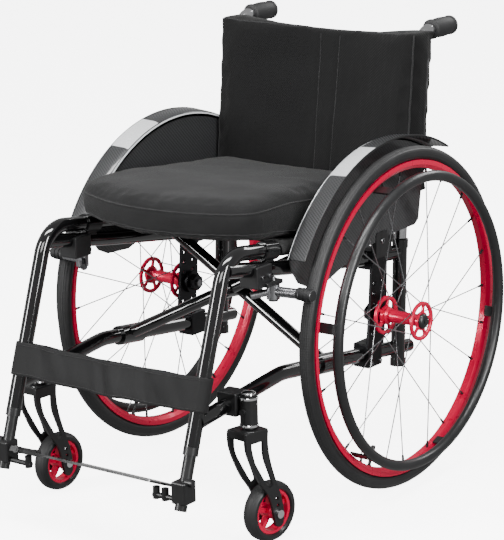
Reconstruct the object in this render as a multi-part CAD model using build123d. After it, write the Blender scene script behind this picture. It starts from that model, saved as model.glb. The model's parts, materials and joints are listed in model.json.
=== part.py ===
from build123d import *
import os
from math import atan, cos, degrees, radians, sin, tan

# Folding manual wheelchair.  Millimetres, +Z up, the user faces -Y and the user's left is +X.
# The model is laid out about the rear axle: Y = 0 is the axle, Z = 0 is the floor, X = 0 is the
# middle plane.  At the end everything moves along Y so that the origin is under the middle of
# the bounding box.

# ------------------------------------------------------------------ driving sizes
WHEEL_R = 295.0            # outer radius of the 24 inch rear tyre
TYRE_TUBE_R = 12.5         # half the width of the rear tyre
WHEEL_X = 259.0            # rear wheel plane
RIM_OUT_R = 272.0
RIM_IN_R = 258.0
RIM_W = 21.0
HUB_IN_X = 223.0           # inner spoke flange
HUB_OUT_X = 295.0          # outer spoke flange
FLANGE_R = 32.0
SPOKE_PCR = 28.0           # radius of the ring of spoke holes
SPOKE_R = 1.0
SPOKES = 24
SPOKE_LEAN = 62.0          # how far round the hub a spoke's root is from its end on the rim
HANDRIM_R = 248.0          # centre line of the push rim
HANDRIM_TUBE_R = 9.0
HANDRIM_X = 296.5
HANDRIM_TABS = 6
TAB_PHASE = 20.0           # angle of the first tab, from the top of the wheel
AXLE_R = 6.35
RUN = 0.05                 # radial clearance of a running fit
GAP = 0.3                  # clearance between bodies that only pass each other

FRONT_X = 188.0            # leg tubes and seat rails
FRAME_X = 191.0            # upper and lower side tubes
REAR_X = 195.0             # rear uprights and back canes
TUBE_R = 12.5
TUBE_WALL = 2.0
RAIL_R = 11.0
CANE_R = 11.0

LEG_FOOT = (-497.0, 191.0)         # lower end of the leg tube (y, z)
LEG_SLOPE = 0.3421                 # y per z along the leg tube
RAIL_REF = (-285.0, 464.5)         # a point on the seat rail axis (y, z)
RAIL_SLOPE = 0.14                  # drop per mm towards the back
COLLAR_Y = (-306.0, -272.0)        # the collar in which the rail rests
RAIL_END_Y = 60.0
BEND_R = 55.0

FOLD_REF = (-130.0, 237.6)         # a point on the lower tube axis, which is the fold axis (y, z)
FOLD_DROP = 0.1154                 # drop per mm towards the back
BRACE_R = 11.0
BRACE_LIFT = 204.5                 # seat rail axis above the fold axis, square to it
LEFT_BRACE_S = (-6.0, -2.0)        # foot and top of the left brace along the fold axis
RIGHT_BRACE_S = (-65.0, 1.0)

CASTER_R = 51.0
CASTER_W = 27.0
CASTER_TRAIL = 40.0
STEM = (225.0, -395.0)             # caster stem axis (x, y)
STEM_R = 6.0
CASTER_YAW = {"left": -9.8, "right": -4.6}
CROWN_TOP = 201.0
HEAD_Z = (203.0, 255.0)

PLATE_TILT = 23.0
PLATE_MID = (-501.5, 120.5)        # middle of the footplate (y, z)
PLATE_HALF = 154.0
PLATE_DEPTH = 84.0
PLATE_T = 4.0
PLATE_HINGE_X = -160.0

GUARD_X = 212.0
LOCK_Y = -286.2
LOCK_Z = 401.0

# ------------------------------------------------------------------ derived directions
FOLD_ANGLE = atan(FOLD_DROP)
FOLD_D = Vector(0, cos(FOLD_ANGLE), -sin(FOLD_ANGLE))
FOLD_N = Vector(0, sin(FOLD_ANGLE), cos(FOLD_ANGLE))
PLATE_D = Vector(0, cos(radians(PLATE_TILT)), -sin(radians(PLATE_TILT)))
PLATE_N = Vector(0, sin(radians(PLATE_TILT)), cos(radians(PLATE_TILT)))
parts = {}


def leg_y(z):
    return LEG_FOOT[0] + LEG_SLOPE * (z - LEG_FOOT[1])


def rail_z(y):
    return RAIL_REF[1] - RAIL_SLOPE * (y - RAIL_REF[0])


def lower_z(y):
    return FOLD_REF[1] - FOLD_DROP * (y - FOLD_REF[0])


def fold_point(x, s, h):
    """A point given by x, the distance s along the fold axis and the height h square to it."""
    return Vector(x, FOLD_REF[0], FOLD_REF[1]) + FOLD_D * s + FOLD_N * h


def plate_point(x, s, h):
    """A point in the footplate's own frame."""
    return Vector(x, PLATE_MID[0], PLATE_MID[1]) + PLATE_D * s + PLATE_N * h


# ------------------------------------------------------------------ shape helpers
def corners(points, bends):
    """Splits a bent centre line into straight runs and the arcs between them."""
    pts = [Vector(*p) for p in points]
    runs = []
    arcs = []
    start = pts[0]
    for i, bend in enumerate(bends, start=1):
        into = (pts[i] - pts[i - 1]).normalized()
        out = (pts[i + 1] - pts[i]).normalized()
        turn = radians(into.get_angle(out))
        reach = bend * tan(turn / 2)
        a = pts[i] - into * reach
        centre = pts[i] + (out - into).normalized() * (bend / cos(turn / 2))
        runs.append((start, a))
        arcs.append((a, into, Axis(centre, into.cross(out)), degrees(turn)))
        start = pts[i] + out * reach
    runs.append((start, pts[-1]))
    return runs, arcs


def bar(route, r):
    """A solid round bar along a bent centre line, given as its points and its bend radii."""
    runs, arcs = corners(*route)
    total = None
    for a, b in runs:
        piece = rod(a, b, r)
        total = piece if total is None else total + piece
    for a, into, axis, turn in arcs:
        total = total + revolve(Plane(origin=a, z_dir=into) * Circle(r), axis=axis, revolution_arc=turn)
    return total


def pipe(route, r, wall=TUBE_WALL):
    """A hollow round tube along a bent centre line."""
    return bar(route, r) - bar(route, r - wall)


def rod(a, b, r, hole=0.0):
    """A round bar, or a ring with a hole, between two points."""
    a = Vector(*a) if isinstance(a, tuple) else a
    b = Vector(*b) if isinstance(b, tuple) else b
    plane = Plane(origin=a, z_dir=b - a)
    face = Circle(r) - Circle(hole) if hole else Circle(r)
    return extrude(plane * face, amount=(b - a).length)


def block(x, y, z, edge=0.0):
    """An upright box from its three ranges, with rounded edges if asked."""
    size = (x[1] - x[0], y[1] - y[0], z[1] - z[0])
    mid = ((x[0] + x[1]) / 2, (y[0] + y[1]) / 2, (z[0] + z[1]) / 2)
    solid = Pos(*mid) * Box(*size)
    return fillet(solid.edges(), edge) if edge else solid


def side_plate(outline, x0, x1):
    """A flat plate in a plane of constant x.  The outline is a closed list of (y, z)."""
    face = Plane.YZ * make_face(Polyline(*outline, close=True))
    return Pos(x0, 0, 0) * extrude(face, amount=x1 - x0, dir=(1, 0, 0))


def turned(section, x=0.0, y=0.0, z=0.0):
    """A solid of revolution about an axis along X.  The section lists (axial, radial) points."""
    face = Plane.XZ * make_face(Polyline(*section, close=True))
    return Pos(x, y, z) * revolve(face, axis=Axis.X)


def about_axle(shape):
    """Moves a shape made about the X axis to the rear axle."""
    return Pos(0, 0, WHEEL_R) * shape


def both(name, shape):
    """Keeps a shape made for the left side and its mirror image for the right side."""
    parts["left_" + name] = shape
    parts["right_" + name] = mirror(shape, about=Plane.YZ)


def join(*shapes):
    """One solid from shapes that overlap."""
    total = shapes[0]
    for s in shapes[1:]:
        total = total + s
    return total


def group(*shapes):
    """Several separate solids in one node."""
    solids = [s for shape in shapes for s in shape.solids()]
    return Compound(children=solids)


# ------------------------------------------------------------------ side frame tubes
CORNER_Z = (RAIL_REF[1] + RAIL_SLOPE * (RAIL_REF[0] - LEG_FOOT[0] + LEG_SLOPE * LEG_FOOT[1])) / (
    1 + RAIL_SLOPE * LEG_SLOPE
)
FRONT_ROUTE = (
    [
        (FRONT_X, *LEG_FOOT),
        (FRONT_X, leg_y(CORNER_Z), CORNER_Z),
        (FRONT_X, COLLAR_Y[0], rail_z(COLLAR_Y[0])),
    ],
    [BEND_R],
)
FRONT_SOLID = bar(FRONT_ROUTE, TUBE_R)
both("front_tube", pipe(FRONT_ROUTE, TUBE_R))

REAR_FOOT = (77.0, 195.0)
REAR_TOP = (88.0, 408.0)
REAR_ROUTE = ([(REAR_X, *REAR_FOOT), (REAR_X, *REAR_TOP)], [])
REAR_SOLID = bar(REAR_ROUTE, TUBE_R)

UPPER_ROUTE = (
    [
        (FRAME_X, -402.0, 455.5),
        (FRAME_X, -240.0, 427.0),
        (FRAME_X, -20.0, 394.0),
        (FRAME_X, 92.0, 383.5),
    ],
    [120.0, 120.0],
)
UPPER_SOLID = bar(UPPER_ROUTE, TUBE_R)
REAR_COLLAR = rod((REAR_X, 87.2, 393.0), (REAR_X, *REAR_TOP), TUBE_R + 1.5)
UPPER_PIPE = pipe(UPPER_ROUTE, TUBE_R) - FRONT_SOLID - REAR_SOLID - REAR_COLLAR
both("upper_tube", UPPER_PIPE.solids().sort_by(SortBy.VOLUME)[-1])

LOWER_BEND_Y = -262.0
LOWER_ROUTE = (
    [
        (FRAME_X, leg_y(229.0), 229.0),
        (FRAME_X, LOWER_BEND_Y, lower_z(LOWER_BEND_Y)),
        (FRAME_X, 80.0, lower_z(80.0)),
    ],
    [120.0],
)
LOWER_SOLID = bar(LOWER_ROUTE, TUBE_R)
LOWER_PIPE = pipe(LOWER_ROUTE, TUBE_R) - FRONT_SOLID - REAR_SOLID
both("lower_tube", LOWER_PIPE.solids().sort_by(SortBy.VOLUME)[-1])


def rear_tube():
    """The rear upright with its bumper plug and the short socket behind it."""
    upright = pipe(REAR_ROUTE, TUBE_R)
    plug = rod((REAR_X, REAR_FOOT[0] - 0.7, REAR_FOOT[1] - 13), (REAR_X, *REAR_FOOT), TUBE_R + 1)
    socket = rod((REAR_X, 86.0, 213.0), (REAR_X, 112.0, 210.0), TUBE_R - 1) - REAR_SOLID
    return group(upright + socket + (REAR_COLLAR - bar(REAR_ROUTE, TUBE_R - 1)), plug)


both("rear_tube", rear_tube())

CANE_FOOT = (88.1, 409.4)
GRIP_Z = 759.5
CANE_ROUTE = (
    [
        (REAR_X, *CANE_FOOT),
        (REAR_X, 91.0, 438.0),
        (REAR_X, 142.0, 590.0),
        (REAR_X, 160.5, GRIP_Z),
        (REAR_X, 249.0, GRIP_Z),
    ],
    [60.0, 150.0, 24.0],
)
CANE_SOLID = bar(CANE_ROUTE, CANE_R)
GRIP_R = 17.0
GRIP_SPAN = (188.0, 252.0)         # along the handle
FOAM_SPAN = (628.0, 728.0)         # heights of the sleeve on the cane
RING_SPAN = (594.0, 604.0)         # heights of the clamp ring on the cane


def cane_at(z):
    """The y of the back cane's axis at a height on its upper straight run."""
    return 142.0 + (z - 590.0) * (160.5 - 142.0) / (GRIP_Z - 590.0)


def back_tube():
    """The back cane with its clamp ring at half height."""
    low, high = RING_SPAN
    ring = rod((REAR_X, cane_at(low), low), (REAR_X, cane_at(high), high), CANE_R + 3, CANE_R - 1)
    return pipe(CANE_ROUTE, CANE_R) + ring


both("back_tube", back_tube())


def push_grip():
    """The rubber push grip on the rearward end, and the foam sleeve under it on the cane."""
    start, end = GRIP_SPAN
    outline = [(start, 0), (start, GRIP_R - 2), (start + 2, GRIP_R)]
    outline += [(end - 3, GRIP_R), (end, GRIP_R - 3), (end, 0)]
    face = Plane.YZ * make_face(Polyline(*outline, close=True))
    grip = Pos(REAR_X, 0, GRIP_Z) * revolve(face, axis=Axis.Y)
    low, high = FOAM_SPAN
    foam = rod((REAR_X, cane_at(low), low), (REAR_X, cane_at(high), high), CANE_R + 4)
    return group(grip - CANE_SOLID, foam - CANE_SOLID)


both("push_grip", push_grip())

# ------------------------------------------------------------------ leg extension
EXT_FOOT_Z = 100.0
EXT_TOP_Z = 262.0
EXT_R = 10.0


def leg_extension():
    """The telescoping lower leg tube with a chromed collar at the end of the leg tube."""
    foot = (FRONT_X, leg_y(EXT_FOOT_Z), EXT_FOOT_Z)
    top = (FRONT_X, leg_y(EXT_TOP_Z), EXT_TOP_Z)
    tube = rod(foot, top, EXT_R, EXT_R - TUBE_WALL)
    collar = rod(
        (FRONT_X, leg_y(178.0), 178.0), (FRONT_X, leg_y(190.9), 190.9), TUBE_R, EXT_R + RUN
    )
    plug = rod((FRONT_X, leg_y(94.0), 94.0), foot, EXT_R)
    return group(tube + plug, collar)


both("leg_extension", leg_extension())
EXT_SOLID = rod(
    (FRONT_X, leg_y(90.0), 90.0), (FRONT_X, leg_y(EXT_TOP_Z), EXT_TOP_Z), EXT_R
)

# ------------------------------------------------------------------ axle plate and axle


def axle_plate():
    """The slanted plate with its rows of height holes, its two tube clamps and the axle sleeve."""
    outline = [(-20.0, 386.0), (26.0, 386.0), (22.0, 300.0), (13.0, 240.0), (-35.0, 240.0), (-27.0, 300.0)]
    plate = side_plate(outline, 204.0, 209.0)
    upper = block((176.0, 209.0), (-16.0, 20.0), (374.0, 407.5), 2.0)
    lower = block((176.0, 209.0), (-32.0, 8.0), (204.0, 246.0), 2.0)
    body = plate + upper + lower - UPPER_SOLID - LOWER_SOLID
    for row in range(6):
        z = 262.0 + 18.0 * row
        if abs(z - WHEEL_R) > 16.0:
            for y in (-17.0, 8.0):
                body -= rod((200.0, y + (z - 300.0) * 0.07, z), (212.0, y + (z - 300.0) * 0.07, z), 4.0)
    sleeve = rod((186.0, 0.0, WHEEL_R), (217.0, 0.0, WHEEL_R), 12.0)
    nut = extrude(Plane(origin=(186.0, 0, WHEEL_R), z_dir=(1, 0, 0)) * RegularPolygon(15.0, 6), 10.0)
    washer = rod((196.0, 0.0, WHEEL_R), (204.0, 0.0, WHEEL_R), 20.0)
    body = body + sleeve + nut + washer
    return body - rod((180.0, 0.0, WHEEL_R), (220.0, 0.0, WHEEL_R), AXLE_R + 0.02)


both("axle_plate", axle_plate())

BUTTON_R = 4.0
AXLE_END_X = 303.0


def wheel_axle():
    """The quick-release axle: a pin with a blind bore for its button and a low head."""
    pin = rod((182.0, 0.0, WHEEL_R), (AXLE_END_X, 0.0, WHEEL_R), AXLE_R)
    head = rod((300.3, 0.0, WHEEL_R), (AXLE_END_X, 0.0, WHEEL_R), 10.0)
    bore = rod((AXLE_END_X - 16, 0.0, WHEEL_R), (AXLE_END_X + 1, 0.0, WHEEL_R), BUTTON_R + RUN)
    return pin + head - bore


def axle_button():
    return rod((AXLE_END_X - 11, 0.0, WHEEL_R), (AXLE_END_X + 2.5, 0.0, WHEEL_R), BUTTON_R)


both("wheel_axle", wheel_axle())
both("axle_button", axle_button())

# ------------------------------------------------------------------ rear wheel


def wheel_hub():
    """The hub barrel and its two flanges, each pierced by a ring of round openings."""
    section = [
        (HUB_IN_X - 2.5, AXLE_R + RUN),
        (HUB_IN_X - 2.5, FLANGE_R),
        (HUB_IN_X + 2.5, FLANGE_R),
        (HUB_IN_X + 2.5, 15.0),
        (HUB_OUT_X - 2.5, 13.0),
        (HUB_OUT_X - 2.5, FLANGE_R),
        (HUB_OUT_X + 2.5, FLANGE_R),
        (HUB_OUT_X + 2.5, 14.0),
        (HUB_OUT_X + 5.0, 12.0),
        (HUB_OUT_X + 5.0, AXLE_R + RUN),
    ]
    hub = turned(section)
    for x in (HUB_IN_X, HUB_OUT_X):
        for k in range(6):
            a = radians(60 * k + 30)
            y, z = 20.5 * cos(a), 20.5 * sin(a)
            hub -= rod((x - 4, y, z), (x + 4, y, z), 5.0)
    return about_axle(hub)


def wheel_rim():
    """A hollow aluminium rim with a well for the tyre."""
    w = RIM_W / 2
    outer = [
        (-w, RIM_OUT_R),
        (-w, RIM_OUT_R - 8),
        (-w + 5, RIM_IN_R),
        (w - 5, RIM_IN_R),
        (w, RIM_OUT_R - 8),
        (w, RIM_OUT_R),
    ]
    inner = [
        (-w + 2, RIM_OUT_R - 3),
        (-w + 2, RIM_OUT_R - 7.5),
        (-w + 6, RIM_IN_R + 2),
        (w - 6, RIM_IN_R + 2),
        (w - 2, RIM_OUT_R - 7.5),
        (w - 2, RIM_OUT_R - 3),
    ]
    return about_axle(turned(outer, x=WHEEL_X) - turned(inner, x=WHEEL_X))


def wheel_tyre():
    """The tyre, seated on the rim."""
    middle = WHEEL_R - TYRE_TUBE_R
    face = Plane.XZ * (Pos(0, middle) * Circle(TYRE_TUBE_R))
    tyre = Pos(WHEEL_X, 0, 0) * revolve(face, axis=Axis.X)
    seat = rod((WHEEL_X - 20, 0, 0), (WHEEL_X + 20, 0, 0), RIM_OUT_R)
    return about_axle(tyre - seat)


def wheel_spokes():
    """Crossed straight spokes whose ends are seated in the two flanges and in the rim wall."""
    out = []
    turn = 360.0 / (SPOKES / 2)
    for flange_x, phase in ((HUB_IN_X, 0.0), (HUB_OUT_X, 0.5)):
        side = 1 if flange_x > WHEEL_X else -1
        for k in range(SPOKES // 2):
            way = 1 if k % 2 else -1
            a = radians(turn * (k + phase))
            b = a + radians(way * SPOKE_LEAN)
            root = (flange_x + way * 1.8, SPOKE_PCR * cos(b), SPOKE_PCR * sin(b))
            tip = (WHEEL_X + side * 3.0, (RIM_IN_R + 1.5) * cos(a), (RIM_IN_R + 1.5) * sin(a))
            out.append(about_axle(rod(root, tip, SPOKE_R)))
    return Compound(children=[s.solid() for s in out])


def handrim():
    """The push rim, and the tabs that hold it to the wheel rim."""
    circle = Plane.XZ * (Pos(0, HANDRIM_R) * Circle(HANDRIM_TUBE_R))
    ring = Pos(HANDRIM_X, 0, 0) * revolve(circle, axis=Axis.X)
    half = RIM_W / 2
    keep_out = turned([(-half, RIM_OUT_R), (-half, RIM_IN_R), (half, RIM_IN_R), (half, RIM_OUT_R)], x=WHEEL_X)
    tabs = []
    for k in range(HANDRIM_TABS):
        tab = side_plate([(-9.0, 0.0), (9.0, 0.0), (9.0, 3.0), (-9.0, 3.0)], WHEEL_X + 6, HANDRIM_X)
        tab = Rot(360.0 / HANDRIM_TABS * k + TAB_PHASE, 0, 0) * (Pos(0, 0, RIM_IN_R - 3.0) * tab)
        tabs.append(about_axle(tab - ring - keep_out))
    return group(about_axle(ring), *tabs)


both("wheel_hub", wheel_hub())
both("wheel_rim", wheel_rim())
both("wheel_tyre", wheel_tyre())
both("wheel_spokes", wheel_spokes())
both("handrim", handrim())

# ------------------------------------------------------------------ side guard


def side_guard():
    """The clothes guard: a thin panel beside the wheel and a lip curling over the tyre."""
    outline = [
        (-194.0, 522.0),
        (-176.0, 400.0),
        (-160.0, 388.0),
        (-60.0, 421.0),
        (46.0, 431.0),
        (106.0, 432.0),
        (125.0, 507.0),
        (160.0, 560.0),
        (0.0, 640.0),
        (-150.0, 600.0),
    ]
    panel = side_plate(outline, GUARD_X, GUARD_X + 2.5)
    panel = panel & about_axle(rod((GUARD_X - 5, 0, 0), (GUARD_X + 10, 0, 0), 304.0))
    lip_section = [
        (GUARD_X, 304.0),
        (GUARD_X + 2.0, 307.5),
        (GUARD_X + 9.0, 310.5),
        (GUARD_X + 38.0, 312.5),
        (GUARD_X + 38.0, 310.0),
        (GUARD_X + 10.0, 308.0),
        (GUARD_X + 3.8, 306.0),
        (GUARD_X + 2.5, 304.0),
        (GUARD_X + 2.5, 300.0),
        (GUARD_X, 300.0),
    ]
    lip = turned(lip_section)
    wedge = [(0, 0), (-286, 331), (-200, 400), (0, 420), (190, 400), (211, 362)]
    lip_span = Plane.YZ * make_face(Polyline(*wedge, close=True))
    lip = lip & (Pos(GUARD_X - 10, 0, 0) * extrude(lip_span, amount=80, dir=(1, 0, 0)))
    tab = block((209.3, 214.5), (-14.0, 19.0), (396.0, 440.0))
    return panel + about_axle(lip) + tab


both("side_guard", side_guard())

# ------------------------------------------------------------------ caster head, fork and wheel


def caster_head():
    """The upright bearing housing, its two bright rings and the clamp on the lower tube."""
    x, y = STEM
    housing = rod((x, y, HEAD_Z[0]), (x, y, HEAD_Z[1]), 14.5)
    clamp = block((173.0, 212.0), (y - 17.0, y + 17.0), (220.0, 259.0), 3.0)
    bolt = rod((x, y - 19.0, 231.0), (x, y - 10.0, 231.0), 5.0)
    cap = rod((x, y, HEAD_Z[1]), (x, y, HEAD_Z[1] + 4), 12.0)
    body = housing + clamp + bolt + cap - LOWER_SOLID
    return body - rod((x, y, HEAD_Z[0] - 1), (x, y, HEAD_Z[1] - 6), STEM_R + RUN)


both("caster_head", caster_head())

LEG_IN = 18.0
LEG_OUT = 23.0


def caster_fork():
    """Crown, stem and two swept plate legs with a long window, about the stem at x = y = 0."""
    front = Spline(
        (-28.0, 198.0), (-27.0, 172.0), (-15.0, 140.0), (0.0, 112.0), (18.0, 86.0), (27.0, 60.0), (32.0, 34.0)
    )
    base = ThreePointArc((32.0, 34.0), (41.0, 28.5), (50.0, 36.0))
    back = Spline((50.0, 36.0), (49.0, 66.0), (37.0, 104.0), (25.0, 140.0), (19.0, 172.0), (20.0, 198.0))
    top = Line((20.0, 198.0), (-28.0, 198.0))
    face = make_face(Curve() + [front, base, back, top])
    near = [(-17.0, 182.0), (-16.0, 164.0), (-4.0, 138.0), (10.0, 114.0), (20.0, 99.0)]
    far = [(28.0, 103.0), (19.0, 128.0), (10.0, 152.0), (8.0, 182.0)]
    window = Spline(*near, tangents=[(0, -1), (0.6, -0.8)])
    window_back = Spline(*far, tangents=[(-0.3, 1), (0, 1)])
    hole = make_face(Curve() + [window, Line(near[-1], far[0]), window_back, Line(far[-1], near[0])])
    leg_face = face - hole
    for z in (66.0, 78.0):
        leg_face -= Pos(38.5 - (z - 66.0) * 0.15, z) * Circle(3.0)
    leg_face -= Pos(CASTER_TRAIL, CASTER_R) * Circle(4.0)
    leg = extrude(Plane.YZ * leg_face, amount=LEG_OUT - LEG_IN, dir=(1, 0, 0))
    legs = Pos(LEG_IN, 0, 0) * leg + Pos(-LEG_OUT, 0, 0) * leg
    crown = block((-LEG_OUT, LEG_OUT), (-28.0, 20.0), (187.0, CROWN_TOP), 2.0)
    boss = rod((0, 0, CROWN_TOP - 1), (0, 0, HEAD_Z[0] - GAP), 11.0)
    stem = rod((0, 0, CROWN_TOP - 1), (0, 0, HEAD_Z[1] - 8), STEM_R)
    return legs + crown + boss + stem


def caster_rim():
    """Spoked caster wheel body about its own axle."""
    ring = turned([(-9.5, 37.0), (-9.5, 32.0), (9.5, 32.0), (9.5, 37.0)])
    bore = 4.0 + RUN
    hub = turned([(-16.0, bore), (-16.0, 7.5), (-11.0, 12.0), (11.0, 12.0), (16.0, 7.5), (16.0, bore)])
    body = ring + hub
    for k in range(5):
        spoke = block((-4.5, 4.5), (-4.0, 4.0), (10.0, 34.0))
        body += Rot(72.0 * k, 0, 0) * spoke
    return body


def caster_tyre():
    w = CASTER_W / 2
    section = [
        (-9.5, 37.0),
        (-w, 39.0),
        (-w, 44.0),
        (-w + 3.5, 48.4),
        (-w + 8.0, 50.5),
        (0.0, CASTER_R),
        (w - 8.0, 50.5),
        (w - 3.5, 48.4),
        (w, 44.0),
        (w, 39.0),
        (9.5, 37.0),
    ]
    return turned(section)


def caster_axle():
    """The axle bolt with its head and nut outside the fork legs, and the two spacers."""
    pin = rod((-LEG_OUT - 3, 0, 0), (LEG_OUT + 3, 0, 0), 4.0)
    head = rod((-LEG_OUT - 4.5, 0, 0), (-LEG_OUT, 0, 0), 7.0)
    nut = rod((LEG_OUT, 0, 0), (LEG_OUT + 4.5, 0, 0), 7.0)
    return pin + head + nut


def place_casters():
    """Each caster is made trailing straight back, then turned about its stem."""
    pieces = {
        "caster_fork": caster_fork(),
        "caster_rim": Pos(0, CASTER_TRAIL, CASTER_R) * caster_rim(),
        "caster_tyre": Pos(0, CASTER_TRAIL, CASTER_R) * caster_tyre(),
        "caster_axle": Pos(0, CASTER_TRAIL, CASTER_R) * caster_axle(),
    }
    for side, sign in (("left", 1), ("right", -1)):
        for name, shape in pieces.items():
            parts[side + "_" + name] = Pos(sign * STEM[0], STEM[1], 0) * Rot(0, 0, CASTER_YAW[side]) * shape


place_casters()

# ------------------------------------------------------------------ seat rails, saddles and cross brace
COLLAR_R = 15.5
RAIL_END_GAP = 1.2                 # room between the rail's front end and the leg tube's end


def rail_point(x, y):
    return Vector(x, y, rail_z(y))


def seat_rail():
    """The rail with the upper half of its front collar and a plug at the back."""
    front = COLLAR_Y[0] + RAIL_END_GAP
    tube = rod(rail_point(FRONT_X, front), rail_point(FRONT_X, RAIL_END_Y), RAIL_R, RAIL_R - TUBE_WALL)
    shell = rod(rail_point(FRONT_X, front), rail_point(FRONT_X, COLLAR_Y[1]), COLLAR_R, RAIL_R - 0.5)
    upper = Plane(origin=rail_point(FRONT_X, -290.0), x_dir=(1, 0, 0), z_dir=Vector(0, RAIL_SLOPE, 1))
    half = upper * (Pos(0, 0, 20 + GAP) * Box(60, 80, 40))
    plug = rod(rail_point(FRONT_X, RAIL_END_Y), rail_point(FRONT_X, RAIL_END_Y + 5), RAIL_R)
    return tube + plug + (shell & half)


def rail_saddle():
    """The open cradles that carry the rail: the lower half of the collar and a rear rest."""
    cradle_r = RAIL_R + GAP
    shell = rod(rail_point(FRONT_X, COLLAR_Y[0]), rail_point(FRONT_X, COLLAR_Y[1]), COLLAR_R, cradle_r)
    base = Plane(origin=rail_point(FRONT_X, -290.0), x_dir=(1, 0, 0), z_dir=Vector(0, RAIL_SLOPE, 1))
    half = base * (Pos(0, 0, -20) * Box(60, 80, 40))
    post = block((FRONT_X - 6.0, FRONT_X + 6.0), (-300.0, -278.0), (436.0, rail_z(-290.0) - 8.0))
    front = (shell & half) + (post - rod(rail_point(FRONT_X, -330.0), rail_point(FRONT_X, -250.0), cradle_r))
    rest = block((FRONT_X - 14.0, FRONT_X + 14.0), (26.0, 52.0), (385.0, rail_z(39.0) - 2.0), 2.0)
    rest -= rod(rail_point(FRONT_X, -10.0), rail_point(FRONT_X, 90.0), cradle_r)
    return group(front - UPPER_SOLID, (rest - UPPER_SOLID).solids().sort_by(SortBy.VOLUME)[-1])


both("rail_saddle", rail_saddle())
parts["left_seat_rail"] = seat_rail()
parts["right_seat_rail"] = mirror(seat_rail(), about=Plane.YZ)

FOOT_SLEEVE_R = 17.0
BOSS_R = 14.0
BOLT_R = 5.0


def brace(foot_side, s_foot, s_top, sleeve_span, boss_span):
    """One arm of the cross: a sleeve turning on a lower tube, a tube up to the opposite rail,
    a boss for the centre bolt."""
    foot = fold_point(foot_side * FRAME_X, s_foot, 0)
    top = fold_point(-foot_side * FRONT_X, s_top, BRACE_LIFT)
    arm = rod(foot, top, BRACE_R)
    sleeve = rod(
        fold_point(foot_side * FRAME_X, sleeve_span[0], 0),
        fold_point(foot_side * FRAME_X, sleeve_span[1], 0),
        FOOT_SLEEVE_R,
    )
    boss = rod(
        fold_point(0, boss_span[0], BRACE_LIFT / 2), fold_point(0, boss_span[1], BRACE_LIFT / 2), BOSS_R
    )
    bore = rod(
        fold_point(foot_side * FRAME_X, sleeve_span[0] - 60, 0),
        fold_point(foot_side * FRAME_X, sleeve_span[1] + 60, 0),
        TUBE_R + RUN,
    )
    bolt_bore = rod(
        fold_point(0, boss_span[0] - 20, BRACE_LIFT / 2),
        fold_point(0, boss_span[1] + 20, BRACE_LIFT / 2),
        BOLT_R + RUN,
    )
    body = arm + sleeve + boss - bore - bolt_bore
    rail_space = rod(rail_point(-foot_side * FRONT_X, -320), rail_point(-foot_side * FRONT_X, 90), RAIL_R)
    body = body - rail_space
    return body.solids().sort_by(SortBy.VOLUME)[-1]


BOSS_SPLIT = -18.0
parts["left_brace"] = brace(1, *LEFT_BRACE_S, (-30.0, 30.0), (BOSS_SPLIT + GAP / 2, 9.0))
parts["right_brace"] = brace(-1, *RIGHT_BRACE_S, (-92.0, -34.0), (-45.0, BOSS_SPLIT - GAP / 2))


def brace_bolt():
    """The centre bolt, held by the right arm, with a head and a nut."""
    mid = BRACE_LIFT / 2
    shank = rod(fold_point(0, -49.0, mid), fold_point(0, 14.0, mid), BOLT_R)
    head = rod(fold_point(0, -50.0, mid), fold_point(0, -45.3, mid), 10.0)
    nut = rod(fold_point(0, 9.3, mid), fold_point(0, 14.0, mid), 9.0)
    return shank + head + nut


parts["brace_bolt"] = brace_bolt()

# ------------------------------------------------------------------ wheel locks
LOCK_R = 9.5
LOCK_PIVOT = (203.0, LOCK_Y - 8.0)


def lock_bracket():
    """The clamp on the upper side tube and the pivot pin that carries the lock lever."""
    x, y = LOCK_PIVOT
    clamp = block((173.0, 209.0), (y - 50.0, y - 9.0), (414.0, 450.5), 2.0)
    shelf = block((x - 13.0, x + 12.0), (y - 30.0, y + 12.0), (413.5, 421.0), 2.0)
    pin = rod((x, y, LOCK_Z - 15.0), (x, y, 418.0), 4.0)
    washer = rod((x, y, LOCK_Z - 16.0), (x, y, LOCK_Z - 12.5 - GAP), 8.0)
    return (clamp + shelf + pin + washer) - UPPER_SOLID


def lock_lever():
    """The lock bar: an eye on the pivot and a bar with its rubber shoe against the tyre."""
    x, y = LOCK_PIVOT
    eye = rod((x, y, LOCK_Z - 12.5), (x, y, LOCK_Z + 12.2), 11.0)
    lever = rod((x, y, LOCK_Z), (262.0, LOCK_Y, LOCK_Z), LOCK_R - 1.0) + eye
    handle = rod((x, y, LOCK_Z), (x - 26.0, y - 26.0, LOCK_Z - 6.0), 6.0)
    lever = lever + handle - rod((x, y, LOCK_Z - 40), (x, y, LOCK_Z + 40), 4.0 + RUN)
    shoe = rod((250.0, LOCK_Y, LOCK_Z), (276.0, LOCK_Y, LOCK_Z), LOCK_R)
    return group(lever - shoe, shoe)


both("lock_bracket", lock_bracket())
both("lock_lever", lock_lever())

# ------------------------------------------------------------------ footplate
KNUCKLE_R = 6.0
CLAMP_Z = 122.0
REST_Z = 110.0
REST_END_X = 130.0                 # the rests stay short, so that they pass when the chair is folded


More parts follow.
